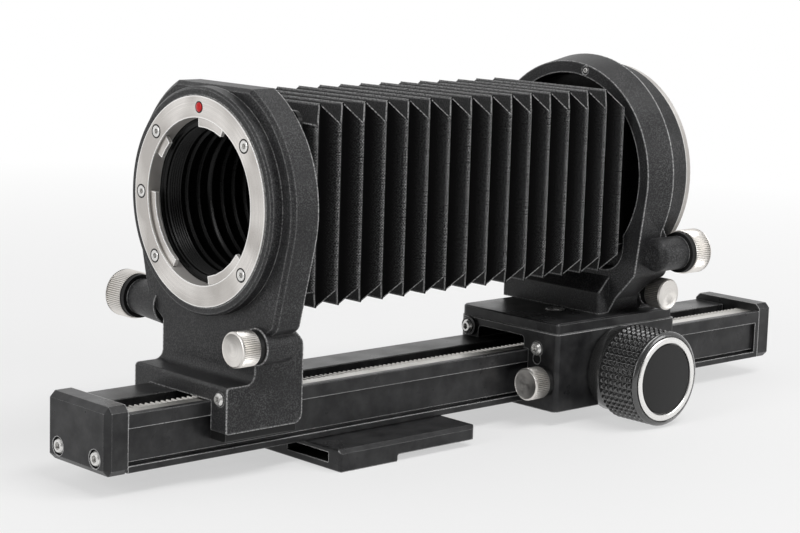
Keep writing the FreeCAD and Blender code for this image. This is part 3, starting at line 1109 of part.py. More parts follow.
def camera_bayonet_ring():
    """Flange and male bayonet for the camera: a collar with three lugs."""
    lug_end = FLANGE_REAR + BAYONET_LENGTH
    profile = [(REAR_THROAT_RADIUS, MOUNT_REAR), (FLANGE_RADIUS, MOUNT_REAR),
               (FLANGE_RADIUS, FLANGE_REAR - FLANGE_EDGE), (FLANGE_RADIUS - FLANGE_EDGE, FLANGE_REAR),
               (BAYONET_RADIUS, FLANGE_REAR), (BAYONET_RADIUS, lug_end), (REAR_THROAT_RADIUS, lug_end)]
    ring = turned(profile, Vector(0, 0, AXIS_Z), REARWARD)
    lugs = []
    for i in range(BAYONET_LUGS):
        middle = TOP_ANGLE + i * 360 / BAYONET_LUGS
        lugs.append(sector(lug_end - BAYONET_LUG_THICKNESS, lug_end, BAYONET_RADIUS - LUG_ROOT,
                           BAYONET_LUG_RADIUS, middle - BAYONET_LUG_SPAN / 2, middle + BAYONET_LUG_SPAN / 2))
    ring = ring.fuse(lugs)
    for seat, direction in flange_screw_places():
        ring = ring.cut(screw_room(RING_SCREW, seat, direction, RING_SCREW[1] + DOT_SUNK))
    return ring


# ---- every piece, by name -----------------------------------------------------------------------
def numbered(stem, size, places):
    return {f"{stem}_{i}": screw(size, seat, direction) for i, (seat, direction) in enumerate(places, 1)}


def all_pieces():
    small, large = (SMALL_KNOB_RADIUS, SMALL_KNOB_LENGTH), (LARGE_KNOB_RADIUS, LARGE_KNOB_LENGTH)
    knobs = {"front_near_lock": (small, NEAR_LOCK_SEAT, FRONTWARD),
             "front_far_lock": (large, FAR_LOCK_SEAT, FARWARD),
             "mount_lock": (large, REAR_LOCK_SEAT, REARWARD), "base_lock": (small, BASE_LOCK_SEAT, NEARWARD),
             "carriage_lock": (small, BLOCK_LOCK_SEAT, FRONTWARD)}
    gib_front, gib_rear = SADDLE_FRONT + GIB_INSET, SADDLE_REAR - GIB_INSET
    pieces = {
        "rail_beam": rail_beam(),
        "focus_rack": focus_rack(),
        "front_end_cap": end_cap(True),
        "rear_end_cap": end_cap(False),
        "tripod_foot": tripod_foot(),
        "bellows": bellows(),
        "front_standard_casting": front_standard_casting(),
        "front_gib_near": gib(gib_front, gib_rear, -1, SADDLE_BOTTOM),
        "front_gib_far": gib(gib_front, gib_rear, 1, SADDLE_BOTTOM),
        "lens_mount_housing": lens_mount_housing(),
        "lens_bayonet_ring": lens_bayonet_ring(),
        "alignment_dot": alignment_dot(),
        "light_baffle_tube": light_baffle_tube(),
        "front_bellows_frame": front_bellows_frame(),
        "carriage_block": carriage_block(),
        "carriage_top_plate": carriage_top_plate(),
        "carriage_gib_near": carriage_gib(-1),
        "carriage_gib_far": carriage_gib(1),
        "pinion_arbor": pinion_arbor(),
        "focus_shaft": focus_shaft(),
        "focus_knob": focus_knob(),
        "focus_trim_ring": focus_trim_ring(),
        "focus_knob_disc": focus_knob_disc(),
        "rear_standard_casting": rear_standard_casting(),
        "rear_bellows_frame": rear_bellows_frame(),
        "camera_mount_housing": camera_mount_housing(),
        "camera_bayonet_ring": camera_bayonet_ring(),
    }
    for name, ((radius, length), seat, direction) in knobs.items():
        pieces[f"{name}_knob"] = thumb_knob(radius, length, seat, direction)
        pieces[f"{name}_washer"] = washer(radius * WASHER_SHARE, seat, direction)
    pieces.update(numbered("end_cap_screw", CAP_SCREW, cap_screw_places()))
    pieces.update(numbered("foot_screw", FOOT_SCREW, foot_screw_places()))
    pieces.update(numbered("gib_screw", GIB_SCREW, gib_screw_places()))
    pieces.update(numbered("lens_ring_screw", RING_SCREW, ring_screw_places()))
    pieces.update(numbered("camera_flange_screw", RING_SCREW, flange_screw_places()))
    pieces.update(numbered("block_face_screw", BLOCK_SCREW, block_screw_places()))
    pieces.update(numbered("top_plate_screw", PLATE_SCREW, plate_screw_places()))
    pieces.update(numbered("arch_screw", TOP_SCREW, top_screw_places()))
    return pieces


os.makedirs("parts", exist_ok=True)
for name, shape in all_pieces().items():
    shape.translate(ORIGIN * -1)
    shape.exportStep(f"parts/{name}.step")
    box_text = shape.BoundBox
    print(f"{name}: {len(shape.Solids)} solid, {shape.Volume:.1f} mm3, valid {shape.isValid()}, "
          f"x {box_text.XMin:.2f}..{box_text.XMax:.2f} y {box_text.YMin:.2f}..{box_text.YMax:.2f} "
          f"z {box_text.ZMin:.2f}..{box_text.ZMax:.2f}")
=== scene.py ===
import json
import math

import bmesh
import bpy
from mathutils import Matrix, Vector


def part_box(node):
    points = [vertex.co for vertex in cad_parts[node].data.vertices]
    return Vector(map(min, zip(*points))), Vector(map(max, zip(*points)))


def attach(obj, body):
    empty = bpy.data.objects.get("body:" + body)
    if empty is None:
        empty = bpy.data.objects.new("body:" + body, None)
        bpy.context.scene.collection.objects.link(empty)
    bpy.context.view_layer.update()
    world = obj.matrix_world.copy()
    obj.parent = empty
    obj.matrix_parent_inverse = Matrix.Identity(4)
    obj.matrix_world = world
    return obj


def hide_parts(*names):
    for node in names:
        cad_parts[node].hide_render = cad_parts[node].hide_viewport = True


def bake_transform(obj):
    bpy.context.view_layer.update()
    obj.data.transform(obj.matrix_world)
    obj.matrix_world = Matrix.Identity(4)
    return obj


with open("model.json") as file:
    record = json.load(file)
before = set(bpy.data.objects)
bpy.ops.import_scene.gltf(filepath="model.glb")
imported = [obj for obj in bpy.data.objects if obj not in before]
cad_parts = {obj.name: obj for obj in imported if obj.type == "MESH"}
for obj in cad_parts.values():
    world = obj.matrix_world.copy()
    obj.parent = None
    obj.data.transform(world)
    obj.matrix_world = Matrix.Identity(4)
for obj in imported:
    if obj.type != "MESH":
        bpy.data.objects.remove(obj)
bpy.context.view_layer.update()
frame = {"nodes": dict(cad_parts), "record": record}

# %% [markdown]
# # Dressing a macro bellows unit
# The solids of the unit are already loaded, each at its true place and size in metres. This lesson
# gives them their finishes and replaces the pieces that need finer modelling: the folded cloth, the
# knurled knobs and the threaded throat. The rail runs along X with the lens end at low X, Z points
# up.

MM = 0.001
nodes = frame["nodes"]

# %% [markdown]
# ## The camera
# A product picture of something this long is taken from well back, so that the far end doesn't
# shrink. The camera is described by where it stands and by the three directions of its own axes,
# which is easier to adjust than three chained rotation angles.

# %% Place the camera
CAMERA_PLACE = Vector((-419.5, -495.3, 164.9)) * MM
CAMERA_RIGHT = Vector((0.7376, -0.6746, 0.0296))
CAMERA_BACK = Vector((-0.6695, -0.7248, 0.1630))
FOCAL_PIXELS = 2142.0
PICTURE_WIDTH = 800.0

back = CAMERA_BACK.normalized()
right = (CAMERA_RIGHT - back * CAMERA_RIGHT.dot(back)).normalized()
up = back.cross(right)
turn = Matrix((right, up, back)).transposed().to_4x4()
lens = bpy.data.cameras.new("studio_camera")
lens.sensor_width = 36.0
lens.lens = FOCAL_PIXELS / PICTURE_WIDTH * lens.sensor_width
lens.clip_start, lens.clip_end = 0.01, 20.0
camera = bpy.data.objects.new("studio_camera", lens)
camera.matrix_world = Matrix.Translation(CAMERA_PLACE) @ turn
bpy.context.collection.objects.link(camera)
bpy.context.scene.camera = camera
print("lens of", round(lens.lens, 1), "mm")

# %% [markdown]
# ## Small helpers for node trees
# Every finish below is a handful of nodes joined by wires. One helper makes a material with its
# shader, one adds a node and sets its inputs by name, and the others put a sum, a step of vector
# arithmetic or a change of range into one line, which keeps each recipe short.

# %% Helpers for nodes
def new_finish(name, colour, roughness, metallic=0.0, gloss=0.5):
    """A material with one Principled shader, and its node tree ready for more."""
    made = bpy.data.materials.new(name)
    made.use_nodes = True
    shader = made.node_tree.nodes["Principled BSDF"]
    shader.inputs["Base Color"].default_value = (*colour, 1.0)
    shader.inputs["Roughness"].default_value = roughness
    shader.inputs["Metallic"].default_value = metallic
    shader.inputs["Specular IOR Level"].default_value = gloss
    return made, made.node_tree, shader


def add(tree, kind, **inputs):
    """One node, with its inputs set by name; underscores stand for spaces."""
    node = tree.nodes.new(kind)
    for key, value in inputs.items():
        node.inputs[key.replace("_", " ")].default_value = value
    return node


def feed(tree, node, values):
    """Fill a node's inputs in their order; each value is a plain one or a wire."""
    for socket, value in zip(node.inputs, values):
        if isinstance(value, bpy.types.NodeSocket):
            tree.links.new(value, socket)
        else:
            socket.default_value = value


def maths(tree, operation, first, second):
    """A Math node over two values, kept between 0 and 1."""
    node = tree.nodes.new("ShaderNodeMath")
    node.operation = operation
    node.use_clamp = True
    feed(tree, node, (first, second))
    return node.outputs[0]


def vector_maths(tree, operation, *values):
    """A Vector Math node; it answers with a value or with a vector, as its operation does."""
    node = tree.nodes.new("ShaderNodeVectorMath")
    node.operation = operation
    feed(tree, node, values)
    return node.outputs["Value" if operation in ("LENGTH", "DOT_PRODUCT") else "Vector"]


def remap(tree, value, low, high, to_low, to_high):
    node = add(tree, "ShaderNodeMapRange", From_Min=low, From_Max=high,
               To_Min=to_low, To_Max=to_high)
    tree.links.new(value, node.inputs["Value"])
    return node.outputs["Result"]


def seen_directly(tree):
    """1 for what the camera, a mirror or a clear pane looks at, 0 for soft light."""
    path = tree.nodes.new("ShaderNodeLightPath")
    first = maths(tree, "MAXIMUM", path.outputs["Is Camera Ray"], path.outputs["Is Glossy Ray"])
    return maths(tree, "MAXIMUM", first, path.outputs["Is Transmission Ray"])


print("helpers ready")

# %% [markdown]
# ## A pale floor
# Black metal shows its form only by what it mirrors, so the surround has to be pale and plain. The
# floor is one large sheet with a pale colour. Away from the object it reads as plain white to
# anything that looks at it, and near the object a share of the true shading stays, which keeps the
# soft shadow.

# %% Lay the floor
FLOOR_REACH = 4.0                  # metres from the middle to each side
PALE = (0.84, 0.84, 0.84)
SHADOW_NEAR, SHADOW_FAR = 0.10, 0.75
LEAST_WHITE = 0.55                 # close to the object; far away it is 1

floor_mesh = bmesh.new()
bmesh.ops.create_grid(floor_mesh, x_segments=1, y_segments=1, size=FLOOR_REACH)
floor_data = bpy.data.meshes.new("floor")
floor_mesh.to_mesh(floor_data)
floor_mesh.free()
floor = bpy.data.objects.new("floor", floor_data)
bpy.context.collection.objects.link(floor)
floor_finish, tree, shader = new_finish("pale_floor", PALE, 0.7, gloss=0.1)
place = tree.nodes.new("ShaderNodeTexCoord")
distance = vector_maths(tree, "LENGTH", place.outputs["Object"])
whiteness = remap(tree, distance, SHADOW_NEAR, SHADOW_FAR, LEAST_WHITE, 1.0)
white = add(tree, "ShaderNodeEmission", Color=(1.0, 1.0, 1.0, 1.0), Strength=1.0)
blend = tree.nodes.new("ShaderNodeMixShader")
tree.links.new(maths(tree, "MULTIPLY", whiteness, seen_directly(tree)), blend.inputs[0])
tree.links.new(shader.outputs[0], blend.inputs[1])
tree.links.new(white.outputs[0], blend.inputs[2])
tree.links.new(blend.outputs[0], tree.nodes["Material Output"].inputs["Surface"])
floor_data.materials.append(floor_finish)
print("floor of", 2 * FLOOR_REACH, "m, plain white from", SHADOW_FAR, "m on")

# %% [markdown]
# ## The surround
# The world is a tent of white paper that is brighter behind the object than behind the camera. That
# one slope is what makes a flat black face grey at one end and black at the other. The camera
# itself sees plain white, and soft light comes from the same tent at a lower strength.

# %% Hang the surround
TOWARDS_BACKDROP = (0.35, 0.85, 0.35)
DIMMEST, BRIGHTEST = 0.14, 0.95    # what a mirror sees away from the backdrop and towards it
SOFT_SHARE = 0.50                  # soft light is this share of it

world = bpy.data.worlds.new("studio")
bpy.context.scene.world = world
world.use_nodes = True
tree = world.node_tree
ambient = tree.nodes["Background"]
ambient.inputs["Color"].default_value = (1.0, 1.0, 1.0, 1.0)
direction = tree.nodes.new("ShaderNodeTexCoord")
facing = vector_maths(tree, "DOT_PRODUCT", direction.outputs["Generated"], TOWARDS_BACKDROP)
mirrored = remap(tree, facing, -0.75, 0.8, DIMMEST, BRIGHTEST)
path = tree.nodes.new("ShaderNodeLightPath")
soft = maths(tree, "MULTIPLY", mirrored, SOFT_SHARE)
sharp = tree.nodes.new("ShaderNodeMix")
tree.links.new(path.outputs["Is Glossy Ray"], sharp.inputs["Factor"])
tree.links.new(soft, sharp.inputs["A"])
tree.links.new(mirrored, sharp.inputs["B"])
direct = maths(tree, "MAXIMUM", path.outputs["Is Camera Ray"], path.outputs["Is Transmission Ray"])
level = maths(tree, "MAXIMUM", sharp.outputs["Result"], direct)
tree.links.new(level, ambient.inputs["Strength"])
bpy.context.scene.view_settings.view_transform = "Standard"
print("surround leans towards", TOWARDS_BACKDROP)

# %% [markdown]
# ## Three soft lamps
# A tall lamp before the lens end models the front standard and leaves the bright wedges in the
# turned ring. A long one over the bellows draws the line along each fold, and a weak one on the
# knob's side keeps that side readable. Each is given by its place, its width and height in metres
# and its power.

# %% Hang the lamps
def hang_lamp(name, place, aim, width, height, watts):
    data = bpy.data.lights.new(name, "AREA")
    data.shape = "RECTANGLE"
    data.size, data.size_y = width, height
    data.energy = watts
    lamp = bpy.data.objects.new(name, data)
    lamp.location = place
    direction = Vector(aim) - Vector(place)
    lamp.rotation_euler = direction.to_track_quat("-Z", "Y").to_euler()
    bpy.context.collection.objects.link(lamp)


AIM = (0.05, 0.0, 0.06)
hang_lamp("front_lamp", (-1.15, -0.15, 0.55), AIM, 0.35, 0.8, 4.8)
hang_lamp("top_lamp", (0.15, -0.5, 1.0), AIM, 1.0, 0.35, 6.3)
hang_lamp("side_lamp", (0.75, -0.9, 0.45), AIM, 0.4, 0.5, 2.6)

# %% [markdown]
# ## Worn edges and grain
# On black paint and on anodising the eye reads an edge as a thin light line, partly because the
# edge is slightly round and partly because the black is rubbed through there. Two nodes do this
# without any extra geometry. Bevel bends the shading normal round each sharp corner. Ambient
# Occlusion, asked to look inside the solid, darkens only where another face is close behind, which
# is just at the convex corners, so hollows stay clean. On anodising and turned steel the same mask
# also paints a highlight along the corners. Looking outwards instead, Ambient Occlusion finds
# narrow gaps, and there shade is painted in.

# %% Nodes that every hard finish shares
def grain(tree, scale, detail=2.0, roughness=0.5):
    """Noise in millimetres: scale is the size of one grain."""
    place = tree.nodes.new("ShaderNodeTexCoord")
    noise = add(tree, "ShaderNodeTexNoise", Scale=1.0 / (scale * MM), Detail=detail,
                Roughness=roughness)
    tree.links.new(place.outputs["Object"], noise.inputs["Vector"])
    return noise.outputs["Fac"]


LOOKS = 12                         # directions tried by each look at the surroundings


def edge_mask(tree, width):
    """1 on convex corners, 0 on flats, fading over a width in millimetres."""
    inside = add(tree, "ShaderNodeAmbientOcclusion", Distance=width * MM)
    inside.inside = True
    inside.samples = LOOKS
    return remap(tree, inside.outputs["AO"], 0.94, 0.66, 0.0, 1.0)


def tint(tree, factor, dark, light):
    """A colour between two, by a factor."""
    node = tree.nodes.new("ShaderNodeMix")
    node.data_type = "RGBA"
    node.inputs["A"].default_value = (*dark, 1.0)
    node.inputs["B"].default_value = (*light, 1.0)
    tree.links.new(factor, node.inputs["Factor"])
    return node.outputs["Result"]


def laid_over(tree, factor, under, colour):
    """A colour laid over what a wire brings, by a factor."""
    mixed = tint(tree, factor, colour, colour)
    tree.links.new(under, mixed.node.inputs["A"])
    return mixed


def vary_roughness(tree, shader, noise, middle, less, more):
    """Let a noise move the roughness down and up from its middle value."""
    varied = remap(tree, noise, 0.3, 0.7, middle - less, middle + more)
    tree.links.new(varied, shader.inputs["Roughness"])


def relief(tree, height, strength, depth, normal=None):
    """A bump whose height is given; depth is in millimetres."""
    bump = add(tree, "ShaderNodeBump", Strength=strength, Distance=depth * MM)
    tree.links.new(height, bump.inputs["Height"])
    if normal is not None:
        tree.links.new(normal, bump.inputs["Normal"])
    return bump.outputs["Normal"]


def gap_shade_mask(tree, width):
    """0 in the open, 1 down in gaps about as narrow as a width in millimetres, where shade is
    painted.
    """
    around = add(tree, "ShaderNodeAmbientOcclusion", Distance=width * MM)
    around.samples = LOOKS
    return remap(tree, around.outputs["AO"], 0.80, 0.35, 0.0, 1.0)


def soft_corner(tree, radius):
    """The surface's direction as if its corners were rounded to a radius in millimetres."""
    bevel = add(tree, "ShaderNodeBevel", Radius=radius * MM)
    bevel.samples = 6
    return bevel.outputs["Normal"]


print("shared nodes ready")

# %% [markdown]
# ## Sand-textured black paint
# The two standards are castings under a hard, finely gritty paint. The grit is a noise of about
# four tenths of a millimetre used twice: as relief, and as a small change of roughness. Where an
# edge is rubbed the paint turns grey in specks, so the edge mask is multiplied by a coarser noise
# first. Large faint clouds of dust keep the flat faces from looking printed.

# %% Mix the casting paint
def gritty_paint(name, body, edge_grey, grit, edge, roughness):
    made, tree, shader = new_finish(name, body, roughness, gloss=0.28)
    fine = grain(tree, grit, 3.0, 0.65)
    specks = remap(tree, grain(tree, grit * 1.3, 2.0, 0.6), 0.40, 0.56, 0.2, 1.0)
    lifted_edges = maths(tree, "MULTIPLY", edge_mask(tree, edge), specks)
    clouds = remap(tree, grain(tree, 11.0, 3.0), 0.3, 0.7, 0.05, 0.14)
    dusty = maths(tree, "MULTIPLY", clouds, remap(tree, fine, 0.47, 0.60, 0.0, 1.0))
    painted = tint(tree, maths(tree, "MAXIMUM", lifted_edges, dusty), body, edge_grey)
    tree.links.new(painted, shader.inputs["Base Color"])
    vary_roughness(tree, shader, fine, roughness, 0.08, 0.08)
    tree.links.new(relief(tree, fine, 0.8, 0.10, soft_corner(tree, 0.5)), shader.inputs["Normal"])
    return made


casting_paint = gritty_paint("casting_paint", body=(0.013, 0.013, 0.014), edge_grey=(0.55, 0.55, 0.55),
                             grit=0.42, edge=0.62, roughness=0.40)
print("mixed", casting_paint.name)

# %% [markdown]
# ## Satin black anodising
# The rail, its caps, the foot and the carriage are machined aluminium, dyed black. The surface is
# smoother than the paint and has a very fine streak along the direction of the extrusion, made by
# stretching a noise with a Mapping node. Its corners are cleaner and brighter lines, painted
# lighter: partly rubbed-through wear and partly a painted highlight.

# %% Mix the anodised finish
def anodised(name, body, edge_grey, roughness, streak=(0.03, 1.0, 1.0), edge=0.42, gloss=0.25):
    made, tree, shader = new_finish(name, body, roughness, gloss=gloss)
    place = tree.nodes.new("ShaderNodeTexCoord")
    stretch = add(tree, "ShaderNodeMapping", Scale=streak)
    tree.links.new(place.outputs["Object"], stretch.inputs["Vector"])
    lines = add(tree, "ShaderNodeTexNoise", Scale=1.0 / (0.25 * MM), Detail=3.0, Roughness=0.6)
    tree.links.new(stretch.outputs["Vector"], lines.inputs["Vector"])
    specks = remap(tree, grain(tree, 0.35, 2.0, 0.6), 0.32, 0.55, 0.35, 1.0)
    # Corners painted lighter: partly wear, partly a painted highlight.
    lifted_edges = maths(tree, "MULTIPLY", maths(tree, "POWER", edge_mask(tree, edge), 1.7), specks)
    clouds = remap(tree, grain(tree, 7.0, 4.0, 0.6), 0.35, 0.7, 0.0, 0.05)
    dyed = tint(tree, maths(tree, "MAXIMUM", lifted_edges, clouds), body, edge_grey)
    tree.links.new(dyed, shader.inputs["Base Color"])
    vary_roughness(tree, shader, grain(tree, 12.0, 3.0), roughness, 0.06, 0.07)
    tree.links.new(relief(tree, lines.outputs["Fac"], 0.3, 0.03, soft_corner(tree, 0.35)),
                   shader.inputs["Normal"])
    return made


black_anodising = anodised("black_anodising", body=(0.011, 0.011, 0.012), edge_grey=(0.60, 0.60, 0.60),
                           roughness=0.31, gloss=0.3)
dark_way = anodised("dark_way", body=(0.011, 0.011, 0.011), edge_grey=(0.08, 0.08, 0.08), roughness=0.42)
print("mixed", black_anodising.name, "and", dark_way.name)

# %% [markdown]
# ## Bare metals
# Nickel rack, steel gears and screws are one idea: a metallic shader whose roughness is broken up
# by a noise, and whose narrow gaps are painted dark as shade. They differ in colour, in how rough
# they are, in how deep the marks go and in how wide a gap still counts as narrow.

# %% Mix the metals
def bare_metal(name, colour, roughness, grit=0.25, depth=0.1, edge_radius=0.18, metallic=0.9,
               gap=0.8):
    made, tree, shader = new_finish(name, colour, roughness, metallic)
    fine = grain(tree, grit, 3.0, 0.6)
    vary_roughness(tree, shader, grain(tree, 6.0, 2.0), roughness, 0.05, 0.07)
    duller, gap_shade = (tuple(c * share for c in colour) for share in (0.86, 0.04))
    clean = tint(tree, remap(tree, fine, 0.35, 0.65, 0.0, 1.0), duller, colour)
    # Narrow gaps are painted near black as shade.
    shaded_gaps = laid_over(tree, gap_shade_mask(tree, gap), clean, gap_shade)
    tree.links.new(shaded_gaps, shader.inputs["Base Color"])
    pitted = relief(tree, fine, depth, 0.02, soft_corner(tree, edge_radius))
    tree.links.new(pitted, shader.inputs["Normal"])
    return made


rack_nickel = bare_metal("rack_nickel", (0.78, 0.76, 0.72), 0.34, grit=0.4, depth=0.2,
                         edge_radius=0.1)
screw_steel = bare_metal("screw_steel", (0.86, 0.85, 0.83), 0.26, grit=0.2, depth=0.03,
                         edge_radius=0.10, metallic=0.7, gap=0.6)
gear_steel = bare_metal("gear_steel", (0.45, 0.45, 0.44), 0.35)
print("mixed", [m.name for m in bpy.data.materials if m.name.endswith(("steel", "nickel"))])

# %% [markdown]
# ### Metal faced off in a lathe
# The mount rings are turned, so their marks run in circles around the optical axis. The distance
# from that axis, found with a little vector arithmetic, drives a noise that is the same all round a
# circle. The direction along the circle goes to the shader's tangent, so that the highlight spreads
# across the marks and leaves the bright wedges that turned metal has. The flat faces are the most
# metallic; the walls of the bore are duller, so that they don't sparkle. Corners are painted near
# white as a highlight, and narrow gaps near black as shade.

# %% Mix the turned steel of the mount rings
ring_low, ring_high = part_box("lens_bayonet_ring")
OPTICAL_AXIS = Vector((0.0, 0.0, (ring_low.z + ring_high.z) / 2))


def lathe_marks(tree, shader, hoop, colour, depth, corner=None):
    """Cut circular marks, from a vector that runs along each circle and is as long as its radius.

    The marks go to the shader's normal and tangent; their colour is handed back.
    """
    marks = add(tree, "ShaderNodeTexNoise", Scale=1.0 / (0.4 * MM), Detail=3.0)
    marks.noise_dimensions = "1D"
    tree.links.new(vector_maths(tree, "LENGTH", hoop), marks.inputs["W"])
    rounded = soft_corner(tree, corner) if corner else None
    cut = relief(tree, marks.outputs["Fac"], depth, 0.02, rounded)
    tree.links.new(cut, shader.inputs["Normal"])
    tree.links.new(hoop, shader.inputs["Tangent"])
    duller = tuple(c * 0.88 for c in colour)
    return tint(tree, remap(tree, marks.outputs["Fac"], 0.3, 0.7, 0.0, 1.0), duller, colour)


STEEL = (0.78, 0.75, 0.72)
SMEARED, EDGE_HIGHLIGHT, GAP_SHADE = (0.50, 0.475, 0.45), (1.0, 0.99, 0.97), (0.03, 0.03, 0.03)
turned_steel, tree, shader = new_finish("turned_steel", STEEL, 0.30)
shader.inputs["Anisotropic"].default_value = 0.85
place = tree.nodes.new("ShaderNodeTexCoord")
spoke = vector_maths(tree, "SUBTRACT", place.outputs["Object"], OPTICAL_AXIS)
hoop = vector_maths(tree, "CROSS_PRODUCT", (1.0, 0.0, 0.0), spoke)
marked = lathe_marks(tree, shader, hoop, STEEL, depth=0.05, corner=0.2)
smears = remap(tree, grain(tree, 15.0, 1.5), 0.38, 0.60, 1.0, 0.0)
handled = laid_over(tree, smears, marked, SMEARED)
# Corners are painted near white as a highlight.
lifted_edges = laid_over(tree, edge_mask(tree, 0.5), handled, EDGE_HIGHLIGHT)
# Narrow gaps are painted near black as shade.
tree.links.new(laid_over(tree, gap_shade_mask(tree, 0.6), lifted_edges, GAP_SHADE), shader.inputs["Base Color"])
along = vector_maths(tree, "DOT_PRODUCT", place.outputs["Normal"], (1.0, 0.0, 0.0))
squared = maths(tree, "MULTIPLY", along, along)
for socket, on_walls, on_faces in (("Metallic", 0.30, 0.95), ("Roughness", 0.50, 0.22)):
    tree.links.new(remap(tree, squared, 0.1, 0.6, on_walls, on_faces), shader.inputs[socket])
print("mixed", turned_steel.name, "about z =", round(OPTICAL_AXIS.z / MM, 1), "mm")

# %% [markdown]
# ## The dark and the small finishes
# The light tube, the frames and the washers are meant to be overlooked, so they are simply dark,
# each with a little grain. The washers' finish also colours the thin dark rings laid round screw
# heads as painted shadow. The focusing knob is glossier than the rail and has a clear coat, which
# gives each stud its glint. The dot is baked enamel: a saturated red under a thin clear coat.

# %% Mix the dark finishes and the enamel
def dark_finish(name, colour, roughness, grit, strength, gloss=0.25):
    made, tree, shader = new_finish(name, colour, roughness, gloss=gloss)
    fine = grain(tree, grit, 3.0, 0.6)
    vary_roughness(tree, shader, fine, roughness, 0.07, 0.07)
    lighter = tuple(c * 1.5 for c in colour)
    mottled = tint(tree, remap(tree, fine, 0.35, 0.65, 0.0, 1.0), colour, lighter)
    tree.links.new(mottled, shader.inputs["Base Color"])
    gritty = relief(tree, fine, strength, 0.03, soft_corner(tree, 0.2))
    tree.links.new(gritty, shader.inputs["Normal"])
    return made


def clear_coat(made, weight, roughness):
    shader = made.node_tree.nodes["Principled BSDF"]
    shader.inputs["Coat Weight"].default_value = weight
    shader.inputs["Coat Roughness"].default_value = roughness


light_trap = dark_finish("light_trap", (0.003, 0.003, 0.003), 0.30, grit=0.3, strength=0.15,
                         gloss=0.2)
# Also used for the thin dark rings painted as shadow round screw heads and the bead.
washer_and_shadow_black = dark_finish("washer_and_shadow_black", (0.008, 0.008, 0.008), 0.5, grit=0.4, strength=0.2)
knob_face = dark_finish("knob_face", (0.018, 0.018, 0.018), 0.5, grit=0.12, strength=0.25)
knob_black = anodised("knob_black", body=(0.022, 0.022, 0.022), edge_grey=(0.15, 0.15, 0.15),
                      roughness=0.20, streak=(1.0, 1.0, 1.0), edge=0.24, gloss=1.0)
clear_coat(knob_black, 0.7, 0.12)

DEEP_RED, BRIGHT_RED = (0.46, 0.003, 0.004), (0.70, 0.006, 0.008)
red_enamel, tree, shader = new_finish("red_enamel", BRIGHT_RED, 0.35, gloss=0.3)
clear_coat(red_enamel, 0.25, 0.08)
mottled = tint(tree, remap(tree, grain(tree, 0.5), 0.3, 0.7, 0.0, 1.0), DEEP_RED, BRIGHT_RED)
tree.links.new(mottled, shader.inputs["Base Color"])
print("mixed", knob_black.name, knob_face.name, red_enamel.name)

# %% [markdown]
# ## Every loaded piece gets its finish
# The record already says which slot each piece belongs to, so one table from slot to finish dresses
# all of them, and a piece added to the model later is dressed by its slot.

# %% Dress the loaded pieces
FINISH_OF_SLOT = {
    "black_casting": casting_paint,
    "black_anodised": black_anodising,
    "dark_way_strip": dark_way,
    "nickel_steel": rack_nickel,
    "satin_steel": turned_steel,
    "screw_steel": screw_steel,
    "gear_steel": gear_steel,
    "polished_trim": turned_steel,
    "matt_black_metal": light_trap,
    "black_washer": washer_and_shadow_black,
    "knob_black": knob_black,
    "knob_face_black": knob_face,
    "red_enamel": red_enamel,
    "knurled_aluminium": turned_steel,
    "bellows_cloth": light_trap,
}
slot_of = {entry["node"]: entry["material_slot"] for entry in frame["record"]["subparts"]}
for name, piece in nodes.items():
    for slot in piece.material_slots:
        slot.material = FINISH_OF_SLOT[slot_of[name]]
print("dressed", len(nodes), "pieces")

# %% [markdown]
# ## Drawing a skin from loop to loop
# Knobs, tubes and the bellows are all one closed loop of edges, drawn out step by step and made
# wider or narrower on the way. The helper extrudes the loop, scales it about a centre, and hands
# the new loop back for the next step. Round pieces are drawn standing up on Z and then laid where
# they belong. A solid one is drawn together to a point at both ends; in a ring the last circle
# joins the first.

# %% Helpers for drawing out loops
def next_loop(mesh, loop, move, scale, centre=Vector()):
    """Extrude a closed loop of edges, scale the copy about a centre and move it."""
    made = bmesh.ops.extrude_edge_only(mesh, edges=loop)["geom"]
    verts = [item for item in made if isinstance(item, bmesh.types.BMVert)]
    bmesh.ops.scale(mesh, vec=scale, verts=verts, space=Matrix.Translation(-centre))
    bmesh.ops.translate(mesh, vec=move, verts=verts)
    fresh = set(verts)
    return [item for item in made if isinstance(item, bmesh.types.BMEdge)
            and item.verts[0] in fresh and item.verts[1] in fresh]


def verts_of(loop):
    """Each point of a loop once, in the loop's own order."""
    return list(dict.fromkeys(vert for edge in loop for vert in edge.verts))


def draw_round(profile, segments):
    """A skin through circles of (radius, height), in millimetres, and its last loop."""
    mesh = bmesh.new()
    radius, height = profile[0]
    made = bmesh.ops.create_circle(mesh, cap_ends=False, segments=segments, radius=radius * MM)
    bmesh.ops.translate(mesh, vec=(0, 0, height * MM), verts=made["verts"])
    loop = list(mesh.edges)
    for (r0, h0), (r1, h1) in zip(profile, profile[1:]):
        loop = next_loop(mesh, loop, (0, 0, (h1 - h0) * MM), (r1 / r0, r1 / r0, 1))
    return mesh, loop


def close_end(mesh, loop):
    """Draw a loop together into one point in its middle."""
    inner = next_loop(mesh, loop, (0, 0, 0), (0.1, 0.1, 1))
    verts = verts_of(inner)
    middle = sum((vert.co for vert in verts), Vector()) / len(verts)
    bmesh.ops.pointmerge(mesh, verts=verts, merge_co=middle)


def open_loops(mesh):
    return [edge for edge in mesh.edges if edge.is_boundary]


def draw_solid(profile, segments):
    """A round skin that is closed at both ends."""
    mesh, loop = draw_round(profile, segments)
    close_end(mesh, loop)
    close_end(mesh, open_loops(mesh))
    return mesh


def draw_ring(profile, segments):
    """A round skin whose last circle is joined to its first."""
    mesh = draw_round(profile, segments)[0]
    bmesh.ops.bridge_loops(mesh, edges=open_loops(mesh))
    return mesh


